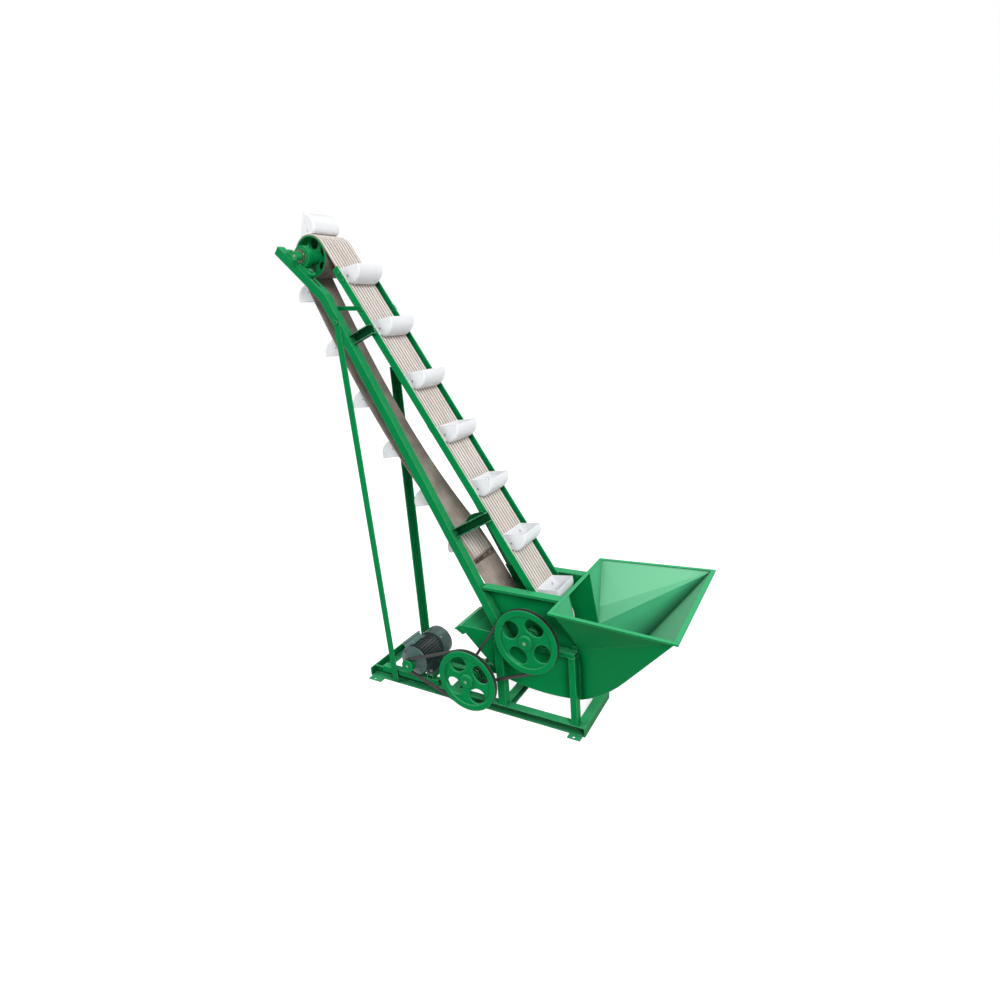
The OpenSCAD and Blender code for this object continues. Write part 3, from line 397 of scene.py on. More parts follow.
def shaft_finish(name, axis):
    """Painted shaft, bare and rusty inside the bearings and round the centres of its ends."""
    bearing_inner, bearing_outer, centre_radius = 0.1195, 0.1545, 0.0055
    look = Finish(name, 0.42, specular=0.25)
    reach, along = look.from_axis(axis)
    place = look.math("ABSOLUTE", along)
    in_bearing = look.times(look.math("GREATER_THAN", place, bearing_inner),
                            look.math("LESS_THAN", place, bearing_outer))
    centre = look.math("LESS_THAN", reach, centre_radius)
    bare = look.add(in_bearing, centre, clamp=True)
    steel = look.mix(look.cloud(0.40, 0.62, 120.0, 6.0, 0.7), (0.20, 0.16, 0.125),
                     (0.16, 0.075, 0.045))
    steel = look.mix(centre, steel, (0.30, 0.31, 0.25))
    look.feed(look.mix(bare, tuple(settings().paint.cast_green), steel), "Base Color")
    look.feed(look.times(bare, 0.5), "Metallic")
    return look.material


def drum_finish(name, axis, radius):
    """Painted drum with worn rubber lagging round its shell."""
    lagging, half_length = 0.0012, 0.0925
    look = Finish(name, 0.5, specular=0.1)
    reach, along = look.from_axis(axis)
    shell = look.math("GREATER_THAN", reach, radius - lagging)
    lagged = look.times(shell, look.math("LESS_THAN", look.math("ABSOLUTE", along), half_length))
    rubber = look.mix(look.cloud(0.35, 0.7, 34.0, 6.0, 0.65), (0.09, 0.075, 0.062),
                      (0.20, 0.17, 0.15))
    look.feed(look.mix(lagged, tuple(settings().paint.cast_green), rubber), "Base Color")
    look.grain(260.0, 1.4, 0.35, 0.0006)
    return look.material


def plastic_finish(name):
    colour = tuple(settings().bucket.colour)
    look = Finish(name)
    cloud = look.cloud(0.3, 0.75, 11.0, 5.0)
    tint = look.mix(cloud, scaled(colour, 0.93), colour)
    worn = look.times(look.cloud(0.60, 0.80, 70.0, 7.0, 0.72), 0.25)
    look.feed(look.mix(worn, tint, (0.55, 0.53, 0.52)), "Base Color")
    look.feed(look.add(0.36, look.times(cloud, 0.16)), "Roughness")
    look.feed(0.08, "Subsurface Weight")
    look.shader.inputs["Subsurface Radius"].default_value = (0.004, 0.004, 0.004)
    look.grain(300.0, 0.6, 0.25, 0.0004)
    return look.material


def belt_finish(name, colour, dirt_colour, dirt, stretch, roughness, blotches=0.0):
    """Belt rubber with dirt smeared along the belt's travel, and broad blotches."""
    look = Finish(name, roughness, specular=0.2)
    down_the_run = look.new("Mapping")
    down_the_run.inputs["Rotation"].default_value = (0, math.radians(-58.0), 0)
    look.put(look.coordinates(), down_the_run.inputs["Vector"])
    stretched = look.new("Mapping")
    stretched.inputs["Scale"].default_value = (stretch, 1.0, 1.0)
    look.put(down_the_run.outputs["Vector"], stretched.inputs["Vector"])
    smear = look.cloud(0.36, 0.74, 26.0, 6.0, 0.65, stretched.outputs["Vector"])
    tint = look.mix(look.times(smear, dirt), colour, dirt_colour)
    broad = look.cloud(0.36, 0.66, 7.0, 5.0, 0.6)
    tint = look.mix(look.times(broad, blotches), tint, scaled(colour, 0.45))
    speck = look.cloud(0.50, 0.75, 240.0, 3.0, 0.6)
    look.feed(look.mix(look.times(speck, dirt * 0.5), tint, dirt_colour), "Base Color")
    look.grain(520.0, 0.8, 0.5, 0.0006)
    return look.material


def hatched_rubber(name):
    """Wrapped V-belt: dark rubber with the cloth's bias threads showing."""
    look = Finish(name, 0.62)
    colour = tuple(settings().motor.rubber)
    light = tuple(c * 2.3 + 0.006 for c in colour)
    wave = look.new("TexWave")
    wave.wave_type = "BANDS"
    wave.bands_direction = "DIAGONAL"
    look.put(130.0, wave.inputs["Scale"])
    look.put(1.5, wave.inputs["Distortion"])
    look.put(look.coordinates(), wave.inputs["Vector"])
    tint = look.mix(look.times(wave.outputs["Fac"], 0.35), colour, light)
    worn = look.times(look.cloud(0.35, 0.7, 24.0, 4.0), 0.4)
    look.feed(look.mix(worn, tint, light), "Base Color")
    look.bump(wave.outputs["Fac"], 0.4, 0.0004)
    return look.material


def motor_paint(name, colour, gap_shade_root=0.0):
    """Motor paint; faces nearer to the motor's axis than the given root radius lie in the gaps
    between the fins and get painted shade.
    """
    look = Finish(name, 0.36, specular=0.35)
    tint = look.mix(look.cloud(0.3, 0.7, 14.0, 5.0), scaled(colour, 0.82), colour)
    # Faces in the gaps between the fins are darkened: painted shade.
    if gap_shade_root:
        reach, _ = look.from_axis(MOTOR_AXIS)
        tint = look.mix(look.ramp(reach, gap_shade_root, gap_shade_root + 0.006), scaled(colour, 0.12), tint)
    # Edges get a lighter grey: partly worn paint, partly a painted highlight.
    edge = look.place("Edge Wear And Highlight", Width=0.0025, Amount=0.5)
    look.feed(look.mix(edge.outputs["Mask"], tint,
                       tuple(min(1.0, c * 2.2 + 0.03) for c in colour)), "Base Color")
    look.grain(300.0, 1.2, 0.4, 0.0005)
    return look.material


def finish(name):
    """Each finish of the object is made once and then reused."""
    found = bpy.data.materials.get(name)
    if found:
        return found
    paint, belt, motor = settings().paint, settings().belt, settings().motor
    green, cast = tuple(paint.green), tuple(paint.cast_green)
    # The hopper sheets get a strong painted highlight on upper faces and a painted glow on inner
    # faces.
    hopper = (green, 0.55, 0.16, 0.05, 420.0, 0.9, 0.0004, 1.2, (0.20, 0.56, 0.33))
    # Each paint's colour, edge wear and highlight, patches and dust come first, in the order of
    # paint_finish
    makers = {
        "Green frame paint": (paint_finish, green, 0.6, 0.22, 0.16),
        "Green sheet paint": (paint_finish, green, 0.5, 0.16, 0.06, 420.0, 0.9, 0.0004, 0.8),
        "Green hopper paint": (paint_finish, *hopper, -1.0),
        "Green near hopper paint": (paint_finish, *hopper, 1.0),
        # The ties' green is darkened: painted shade.
        "Green tie paint": (paint_finish, scaled(green, 0.36), 0.8, 0.3, 0.16),
        # The short ties' green is darkened: painted shade.
        "Green worn paint": (paint_finish, scaled(green, 0.65), 0.7, 0.3, 0.16),
        # The far upper rail's green is made lighter: painted light.
        "Green far rail paint": (paint_finish, scaled(green, 1.5), 0.6, 0.22, 0.16),
        "Green bolt paint": (paint_finish, scaled(green, 0.8), 0.9, 0.3, 0.2, 500.0),
        "Green cast paint": (paint_finish, cast, 0.4, 0.2, 0.08, 260.0, 1.4, 0.0006),
        "Weld": (paint_finish, cast, 0.3, 0.4, 0.1, 900.0, 1.2, 0.0008),
        "Motor housing paint": (motor_paint, tuple(motor.housing)),
        # The gaps between the fins get painted shade.
        "Motor fin paint": (motor_paint, tuple(motor.housing), 0.0715),
        "Motor cowl paint": (motor_paint, tuple(motor.cowl)),
        "Motor box paint": (motor_paint, scaled(motor.cowl, 1.9)),
        "Zinc": (steel_finish, (0.50, 0.50, 0.49), 0.35),
        "Bare steel": (steel_finish, (0.13, 0.11, 0.09), 0.85),
        "Painted boot shaft": (shaft_finish, BOOT_AXIS),
        "Painted counter shaft": (shaft_finish, COUNTER_AXIS),
        "Painted motor shaft": (shaft_finish, MOTOR_AXIS),
        "Painted head shaft": (shaft_finish, HEAD_AXIS),
        "Lagged head drum": (drum_finish, HEAD_AXIS, 0.092),
        "Lagged boot drum": (drum_finish, BOOT_AXIS, 0.1014),
        "Moulded plastic": (plastic_finish,),
        "Belt ribs": (belt_finish, tuple(belt.rib_colour), (0.42, 0.34, 0.29), 0.55, 0.25, 0.62),
        "Belt grooves": (belt_finish, tuple(belt.groove_colour), (0.34, 0.27, 0.22), 0.45, 0.2,
                         0.8),
        "Belt back": (belt_finish, tuple(belt.back_colour), (0.28, 0.23, 0.20), 0.65, 0.35, 0.7,
                      0.85),
        "Wrapped V-belt": (hatched_rubber,),
    }
    maker, *details = makers[name]
    return maker(name, *details)


# ---- mesh tools ----

SHARP_ANGLE = math.radians(35.0)


def shift(x, y, z):
    return Matrix.Translation((x, y, z))


def spin(angle, axis):
    return Matrix.Rotation(angle, 4, axis)


def solid_mesh(name, points, faces, face_finish=None):
    """A mesh with its faces turned outwards, smooth between its sharp edges."""
    mesh = bpy.data.meshes.new(name)
    mesh.from_pydata([tuple(p) for p in points], [], faces)
    if face_finish:
        mesh.polygons.foreach_set("material_index", face_finish)
    mesh.validate()
    mesh.update()
    work = bmesh.new()
    work.from_mesh(mesh)
    bmesh.ops.recalc_face_normals(work, faces=work.faces)
    work.to_mesh(mesh)
    work.free()
    mesh.polygons.foreach_set("use_smooth", [True] * len(mesh.polygons))
    mesh.set_sharp_from_angle(angle=SHARP_ANGLE)
    return mesh


def piece(name, mesh, finishes, replaced=None, body="frame"):
    obj = bpy.data.objects.new(name, mesh)
    bpy.context.scene.collection.objects.link(obj)
    for label in finishes:
        mesh.materials.append(finish(label))
    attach(obj, body)
    if replaced:
        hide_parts(replaced)
    return obj


def piece_of(name, parts, label, replaced=None, body="frame"):
    """One piece in one finish from several (points, faces) parts."""
    points, faces = [], []
    for part_points, part_faces in parts:
        start = len(points)
        points.extend(part_points)
        faces.extend([tuple(i + start for i in f) for f in part_faces])
    return piece(name, solid_mesh(name, points, faces), [label], replaced, body)


def loft(rows):
    """A closed solid skinned over rows of as many points each, with flat ends."""
    count = len(rows[0])
    points = [p for row in rows for p in row]
    faces = [tuple(range(count - 1, -1, -1)),
             tuple((len(rows) - 1) * count + k for k in range(count))]
    for i in range(len(rows) - 1):
        for k in range(count):
            m = (k + 1) % count
            faces.append((i * count + k, i * count + m, (i + 1) * count + m,
                          (i + 1) * count + k))
    return points, faces


def turned(profile, place, steps=48):
    """A profile of (radius, distance) turned round a local Z axis and put in place."""
    turns = [2 * math.pi * s / steps for s in range(steps)]
    return loft([[place @ Vector((r * math.cos(a), r * math.sin(a), d)) for a in turns]
                 for r, d in profile])


def along_y(axis, y):
    """Local Z points towards -Y, the near side, from a place on a shaft's axis."""
    return shift(axis[0], y, axis[1]) @ spin(QUARTER, "X")


def hex_bolt(place, radius, height, washer=0.0016):
    """A hexagon head with its chamfer, on a washer, its axis on local Z."""
    top = washer + height
    ring = [(radius * 1.25, 0), (radius * 1.25, washer * 0.7), (radius * 1.18, washer)]
    head = [(radius, washer), (radius, top - radius * 0.14), (radius * 0.86, top)]
    return [turned(ring, place, 24), turned(head, place, 6)]


def weld_bead(start, end, radius=0.0022):
    """A six-sided bead from start to end, with its scales."""
    step, scale_pitch, scale_rise = 0.0012, 0.0036, 0.35
    start, gap = Vector(start), Vector(end) - Vector(start)
    steps = max(4, int(gap.length / step))
    side = gap.normalized().cross(Vector((0.13, 0.31, 0.94))).normalized()
    up = side.cross(gap.normalized())
    spokes = [side * math.cos(math.pi / 3 * k) + up * math.sin(math.pi / 3 * k)
              for k in range(6)]
    rows = []
    for i in range(steps + 1):
        scales = abs(math.sin(math.pi * gap.length * i / steps / scale_pitch))
        middle, thick = start + gap * (i / steps), radius * (1 + scale_rise * scales)
        rows.append([middle + spoke * thick for spoke in spokes])
    return loft(rows)


def rounded_block(size, radius, place, taper=0.0):
    """A box with rounded edges, standing on local Z = 0, its top drawn in by taper."""
    work = bmesh.new()
    bmesh.ops.create_cube(work, size=1.0)
    for v in work.verts:
        v.co = Vector((v.co.x * size[0], v.co.y * size[1], (v.co.z + 0.5) * size[2]))
        if v.co.z > size[2] / 2:
            v.co.x *= 1 - taper
            v.co.y *= 1 - taper
    bmesh.ops.bevel(work, geom=work.edges[:], offset=radius, segments=3, profile=0.5,
                    affect="EDGES")
    work.verts.index_update()
    points = [place @ v.co for v in work.verts]
    faces = [tuple(v.index for v in f.verts) for f in work.faces]
    work.free()
    return points, faces


# ---- the bucket belt's path ----

# Inner radii of the belt on the drums, and the slope where it touches both on the carrying side
HEAD_INNER = 0.0926
BOOT_INNER = 0.102
AXIS_GAP = BOOT_AXIS - HEAD_AXIS
RUN_SLOPE = math.degrees(math.atan2(-AXIS_GAP[1], AXIS_GAP[0])
                         - math.asin((BOOT_INNER - HEAD_INNER) / AXIS_GAP.length))
# The return run: slopes at its ends and where its two curves join, and the place of the joint.
# It hangs a little lower than in the part, as in the photo.
HEAD_LEAVE, BOOT_ARRIVE, MIDDLE_SLOPE = 66.3, 55.7, 49.8
SAG_MIDDLE = Vector((-0.0672, 0.9026))
SAG_JOINT = 0.68


def unit(degrees):
    return Vector((math.cos(math.radians(degrees)), math.sin(math.radians(degrees))))


RUN_SIDE = unit(90 - RUN_SLOPE)


def bezier(start, start_slope, end, end_slope, t):
    """Point and direction on a curve between two ends, each with its slope downwards."""
    reach = (end - start).length / 3
    c = [start, start + unit(-start_slope) * reach, end - unit(-end_slope) * reach, end]
    s = 1 - t
    point = c[0] * s ** 3 + c[1] * 3 * t * s * s + c[2] * 3 * t * t * s + c[3] * t ** 3
    slope = (c[1] - c[0]) * 3 * s * s + (c[2] - c[1]) * 6 * t * s + (c[3] - c[2]) * 3 * t * t
    return point, slope.normalized()


def sag(t):
    """A point on the return run from the head at 0 to the boot at 1, and its outward side."""
    start = HEAD_AXIS - unit(90 - HEAD_LEAVE) * HEAD_INNER
    end = BOOT_AXIS - unit(90 - BOOT_ARRIVE) * BOOT_INNER
    if t < SAG_JOINT:
        point, ahead = bezier(start, HEAD_LEAVE, SAG_MIDDLE, MIDDLE_SLOPE, t / SAG_JOINT)
    else:
        point, ahead = bezier(SAG_MIDDLE, MIDDLE_SLOPE, end, BOOT_ARRIVE,
                              (t - SAG_JOINT) / (1 - SAG_JOINT))
    return point, Vector((ahead[1], -ahead[0]))


def arc(axis, radius, first, last, steps):
    """Points on a circle from one angle to another, with the outward side of each."""
    sides = [unit(first + (last - first) * i / steps) for i in range(steps + 1)]
    return [(axis + side * radius, side) for side in sides]


def belt_stations():
    """Points on the belt's inner face round the whole loop, with the outward side of each."""
    arc_step, run_steps, sag_steps = 2.5, 40, 80
    head = (270 - HEAD_LEAVE, 90 - RUN_SLOPE)
    boot = (90 - RUN_SLOPE, -90 - BOOT_ARRIVE)
    stations = arc(HEAD_AXIS, HEAD_INNER, *head, int((head[0] - head[1]) / arc_step))
    first, last = HEAD_AXIS + RUN_SIDE * HEAD_INNER, BOOT_AXIS + RUN_SIDE * BOOT_INNER
    stations += [(first.lerp(last, i / run_steps), RUN_SIDE) for i in range(1, run_steps)]
    stations += arc(BOOT_AXIS, BOOT_INNER, *boot, int((boot[0] - boot[1]) / arc_step))
    return stations + [sag(i / sag_steps) for i in range(sag_steps - 1, 0, -1)]


def swept_ring(name, stations, section, section_finish):
    """Sweeps a closed (across, outward) section round a closed ring of stations."""
    count = len(section)
    points = [(p[0] + side[0] * d, y, p[1] + side[1] * d)
              for p, side in stations for y, d in section]
    faces, marks = [], []
    for i in range(len(stations)):
        j = (i + 1) % len(stations)
        for k in range(count):
            m = (k + 1) % count
            faces.append((i * count + k, i * count + m, j * count + m, j * count + k))
            marks.append(section_finish[k])
    return solid_mesh(name, points, faces, marks)


# ---- buckets ----

# A bucket's side in millimetres out of the belt and down from its mouth, from lip to back
BUCKET_OUTLINE = [(97, 46), (96.4, 52), (91, 66), (82, 78), (69, 87), (52, 93.5), (35, 96),
                  (20, 95), (8, 90), (0, 80)]
BUCKET_CENTRE = Vector((0.035, 0.048))
BACK_MIDDLE = 0.049
# Where they stand: down the carrying run in metres, round the boot and the head in degrees, and
# along the return run from 0 to 1
CARRY_START, CARRY_PITCH = 0.140, 0.281
BOOT_ANGLES, HEAD_ANGLE = (-41, -135), 95
RETURN_PLACES = [0.059, 0.2, 0.335, 0.47, 0.605, 0.74, 0.877]


def fine_outline():
    """The bucket's side from lip to back as a smooth curve through the outline's points."""
    knots = [Vector(p) * MM for p in BUCKET_OUTLINE]
    made = []
    for i in range(len(knots) - 1):
        p0, p1 = knots[max(i - 1, 0)], knots[i]
        p2, p3 = knots[i + 1], knots[min(i + 2, len(knots) - 1)]
        for t in (0, 1 / 3, 2 / 3):
            made.append(0.5 * ((2 * p1) + (p2 - p0) * t + (2 * p0 - 5 * p1 + 4 * p2 - p3) * t * t
                               + (3 * p1 - p0 - 3 * p2 + p3) * t ** 3))
    made.append(knots[-1])
    return made


def bucket_shell(inset, half, corner):
    """Points of one skin of a bucket as rows across it; corners are square at the lip."""
    outline = fine_outline()
    last = len(outline) - 1
    turns = [math.radians(15 * k) for k in range(7)]
    corners = [(half - corner + corner * math.sin(a), corner * (1 - math.cos(a)))
               for a in turns]
    rows = [(-y, pull) for y, pull in reversed(corners)]
    rows += [(half * f, 0.0) for f in (-0.5, 0.0, 0.5)] + corners
    made = []
    for y, pull in rows:
        line = []
        for i, p in enumerate(outline):
            along = (outline[min(i + 1, last)] - outline[max(i - 1, 0)]).normalized()
            inward = Vector((-along[1], along[0]))
            if inward.dot(BUCKET_CENTRE - p) < 0:
                inward = -inward
            if i == 0:
                inward = -Vector(BUCKET_OUTLINE[0]).normalized()
            if i == last:
                inward = Vector((0, -1))
            q = p + inward * (pull * min(1.0, 0.12 + 0.11 * i) + inset)
            if i > last - 3:
                q[0] = max(q[0], inset)
            line.append((q[0], y, -q[1]))
        made.append(line)
    return made


def bucket_part(place):
    """One moulded bucket: outer skin, inner skin, lip and flat back."""
    bucket = settings().bucket
    half, wall, corner = bucket.half_width, bucket.wall, bucket.corner
    outer = bucket_shell(0.0, half, corner)
    inner = bucket_shell(wall, half - wall, corner - wall)
    points, faces = [], []
    for skin, depth, top in ((outer, 0.0, 0.0), (inner, wall, -0.0005)):
        for line in skin:
            points.extend([place @ Vector(p) for p in line])
            points.append(place @ Vector((depth, line[0][1], top)))
    rows, width = len(outer), len(outer[0]) + 1

    def at(skin, row, k):
        return (skin * rows + row) * width + k

    for skin in (0, 1):
        for row in range(rows - 1):
            for k in range(width - 1):
                quad = (at(skin, row, k), at(skin, row, k + 1), at(skin, row + 1, k + 1),
                        at(skin, row + 1, k))
                faces.append(quad[::-1] if skin else quad)
        for row in (0, rows - 1):
            ring = tuple(at(skin, row, k) for k in range(width))
            faces.append(ring if (row == 0) == (skin == 1) else ring[::-1])
    for row in range(rows - 1):
        for k in (0, width - 1):
            faces.append((at(0, row, k), at(0, row + 1, k), at(1, row + 1, k), at(1, row, k)))
    for row in (0, rows - 1):
        faces.append((at(0, row, 0), at(0, row, width - 1), at(1, row, width - 1), at(1, row, 0)))
    return points, faces


def bucket_places():
    """Where each bucket's back stands, by node: local X out of the belt, local Z to its mouth."""

    def stand(point, side, lift=BACK_MIDDLE):
        turn = spin(-math.atan2(side[1], side[0]), "Y")
        return shift(point[0], 0, point[1]) @ turn @ shift(settings().belt.thickness, 0, lift)

    def on_drum(axis, radius, angle):
        return stand(axis + unit(angle) * radius, unit(angle))

    down = Vector((RUN_SIDE[1], -RUN_SIDE[0]))
    top = HEAD_AXIS + RUN_SIDE * HEAD_INNER + down * CARRY_START
    carrying = [stand(top + down * (k * CARRY_PITCH), RUN_SIDE, 0.0) for k in range(7)]
    return {
        "carrying_buckets": carrying + [on_drum(BOOT_AXIS, BOOT_INNER, a) for a in BOOT_ANGLES],
        "return_buckets": [stand(*sag(t)) for t in RETURN_PLACES],
        "head_bucket": [on_drum(HEAD_AXIS, HEAD_INNER, HEAD_ANGLE)],
    }


# ---- operators ----

def steel_edges(obj, width):
    """Rolled edges on a carried-over node, made by modifiers so that its own mesh stays."""
    weld = obj.modifiers.new("Join corners", "WELD")
    weld.merge_threshold = 0.00002
    bevel = obj.modifiers.new("Rolled edges", "BEVEL")
    bevel.width = width
    bevel.segments = 2
    bevel.limit_method = "ANGLE"
    bevel.angle_limit = math.radians(38)
    bevel.use_clamp_overlap = True
    bevel.harden_normals = True


class ELEVATOR_OT_paint_frame(bpy.types.Operator):
    """Paint the welded frame, the sheet metal and the castings"""
    bl_idname = "elevator.paint_frame"
    bl_label = "Paint the frame"

    def execute(self, context):
        width = settings().paint.rounding
        groups = [
            (FRAME_STEEL, "Green frame paint", width),
            (FRAME_SHEET, "Green sheet paint", width * 0.6),
            (["hopper_side_far", "hopper_bottom"], "Green hopper paint", width * 0.6),
            (["hopper_side_near"], "Green near hopper paint", width * 0.6),
            # The channel ties get painted shade.
            (["channel_ties"], "Green tie paint", width),
            # The short rail ties get painted shade.
            (["short_rail_ties"], "Green worn paint", width),
            # The far upper rail gets painted light.
            (["upper_rail_far"], "Green far rail paint", width),
            (CASTINGS, "Green cast paint", width * 1.3),
            (["frame_bolts", "bearing_bolts"], "Green bolt paint", width * 0.6),
            (["motor_frame"], "Motor fin paint", 0.0008),
            (["motor_bolts"], "Zinc", width * 0.5),
        ]
        groups += [([shaft + "_shaft"], "Painted " + shaft + " shaft", width)
                   for shaft in ("boot", "counter", "motor", "head")]
        groups += [([drum + "_drum"], "Lagged " + drum + " drum", width * 1.3)
                   for drum in ("head", "boot")]
        for names, label, rounding in groups:
            for name in names:
                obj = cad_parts[name]
                obj.data.materials.clear()
                obj.data.materials.append(finish(label))
                steel_edges(obj, rounding)
        return {"FINISHED"}


class ELEVATOR_OT_make_bucket_belt(bpy.types.Operator):
    """Make the endless ribbed belt that carries the buckets"""
    bl_idname = "elevator.make_bucket_belt"
    bl_label = "Make the bucket belt"

    def execute(self, context):
        belt = settings().belt
        half, top, depth, roll = 0.095, belt.thickness, 0.0018, 0.0004
        low, shoulder = top - depth, top - roll
        pitch = 2 * half / belt.ribs
        labels = ["Belt ribs", "Belt grooves", "Belt back"]
        rib, groove, back = 0, 1, 2
        section, marks = [(-half, 0.0), (-half, low)], [back, groove]
        for i in range(belt.ribs):
            a = -half + pitch * i + belt.groove / 2
            b = -half + pitch * (i + 1) - belt.groove / 2
            bead = (b - a) * 0.12
            section += [(a, low), (a + bead, shoulder), (a + bead * 2.2, top),
                        (b - bead * 2.2, top), (b - bead, shoulder), (b, low)]
            marks += [rib] * 5 + [groove]
        section += [(half, low), (half, 0.0)]
        marks += [back, back]
        mesh = swept_ring("ribbed_bucket_belt", belt_stations(), section, marks)
        piece("ribbed_bucket_belt", mesh, labels, "bucket_belt")
        return {"FINISHED"}


class ELEVATOR_OT_make_splice(bpy.types.Operator):
    """Make the ribbed patch and the clamping bar of the belt's joint"""
    bl_idname = "elevator.make_splice"
    bl_label = "Make the belt's joint"

    def execute(self, context):
        def spot(t, y, lift):
            point, side = sag(t)
            return Vector((point[0] - side[0] * lift, y, point[1] - side[1] * lift))

        # Places along the return run, from the head at 0 to the boot at 1
        patch_start, patch_length, bar_start, bar_middle = 0.711, 0.075, 0.790, 0.7955
        rib = [(-0.0056, -0.0004), (-0.0056, 0.0032), (-0.0036, 0.0048),
               (0.0036, 0.0048), (0.0056, 0.0032), (0.0056, -0.0004)]
        strips = []
        for k in range(7):
            middle = -0.062 + 0.0205 * k
            strips.append(loft([[spot(patch_start + patch_length * i / 8, middle + a, lift)
                                 for a, lift in rib] for i in range(9)]))
        piece_of("belt_joint_patch", strips, "Belt ribs")
        rows = []
        for y, edge in ((-0.084, 0.0015), (-0.080, 0.004), (0.080, 0.004), (0.084, 0.0015)):
            profile = [(0, 0.0005), (0, edge + 0.0015), (0.0015, edge + 0.0045),
                       (0.0095, edge + 0.0045), (0.011, edge + 0.0015), (0.011, 0.0005)]
            rows.append([spot(bar_start + t, y, lift) for t, lift in profile])
        parts = [loft(rows)]
        side = sag(bar_middle)[1]
        turn = Vector((-side[0], 0, -side[1])).to_track_quat("Z", "Y").to_matrix().to_4x4()
        for y in (-0.070, -0.024, 0.024, 0.070):
            place = Matrix.Translation(spot(bar_middle, y, 0.0082)) @ turn
            parts += hex_bolt(place, 0.0048, 0.003)
        piece_of("belt_joint_bar", parts, "Bare steel")
        return {"FINISHED"}


class ELEVATOR_OT_make_buckets(bpy.types.Operator):
    """Make the moulded buckets and the bolts through their sides and backs"""
    bl_idname = "elevator.make_buckets"
    bl_label = "Make the buckets"

    def execute(self, context):
        groups = bucket_places()
        for node, places in groups.items():
            shells = piece_of(node + "_moulded", [bucket_part(p) for p in places],
                              "Moulded plastic", node)
            shells.modifiers.new("Even flats", "WEIGHTED_NORMAL").keep_sharp = True
        bucket = settings().bucket
        half, wall = bucket.half_width, bucket.wall
        sides, backs = [], []
        for place in [p for places in groups.values() for p in places]:
            for y in (-0.045, 0.045):
                at = place @ shift(wall, y, -0.030) @ spin(QUARTER, "Y")
                backs += hex_bolt(at, 0.0052, 0.0028)
            for sign in (-1, 1):
                at = place @ shift(0.018, sign * half, -0.052) @ spin(-sign * QUARTER, "X")
                sides += hex_bolt(at, 0.0042, 0.0022, 0.0008)
        piece_of("bucket_side_bolts", sides, "Zinc")
        piece_of("bucket_back_bolts", backs, "Zinc", "bucket_bolts")
        return {"FINISHED"}


class ELEVATOR_OT_make_drive_belts(bpy.types.Operator):
    """Make the wrapped V-belts of both drive stages"""
    bl_idname = "elevator.make_drive_belts"
    bl_label = "Make the drive belts"

    def execute(self, context):
        large, small, motor = 0.1525, 0.0425, 0.0335
        stages = (
            ("first", COUNTER_AXIS, large, MOTOR_AXIS, motor, -0.226),
            ("second", BOOT_AXIS, large, COUNTER_AXIS, small, -0.193),
        )
        # Half of the belt's section, across it and outwards from its back
        right = [(0.0068, 0.0), (0.0076, 0.0), (0.0082, -0.0012), (0.0056, -0.0104),
                 (0.0050, -0.011)]
        outline = right + [(-a, d) for a, d in reversed(right)]
        for label, big, big_radius, little, little_radius, middle in stages:
            span = little - big
            heading = math.degrees(math.atan2(span[1], span[0]))
            opening = math.degrees(math.acos((big_radius - little_radius) / span.length))
            stations = arc(big, big_radius, heading + opening, heading + 360 - opening, 120)
            stations += arc(little, little_radius, heading - opening, heading + opening, 40)
            section = [(middle + a, d) for a, d in outline]
            mesh = swept_ring(label + "_wrapped_belt", stations, section, [0] * len(section))
            piece(label + "_wrapped_belt", mesh, ["Wrapped V-belt"],
                  label + "_drive_belt")
        return {"FINISHED"}


# Where the motor's turned pieces start along its axis, and their four bolts' places round it
SHIELD_FACE, COWL_FACE, COWL_LENGTH = -0.178, 0.045, 0.075
BOLT_TURNS = [math.radians(45 + 90 * k) for k in range(4)]


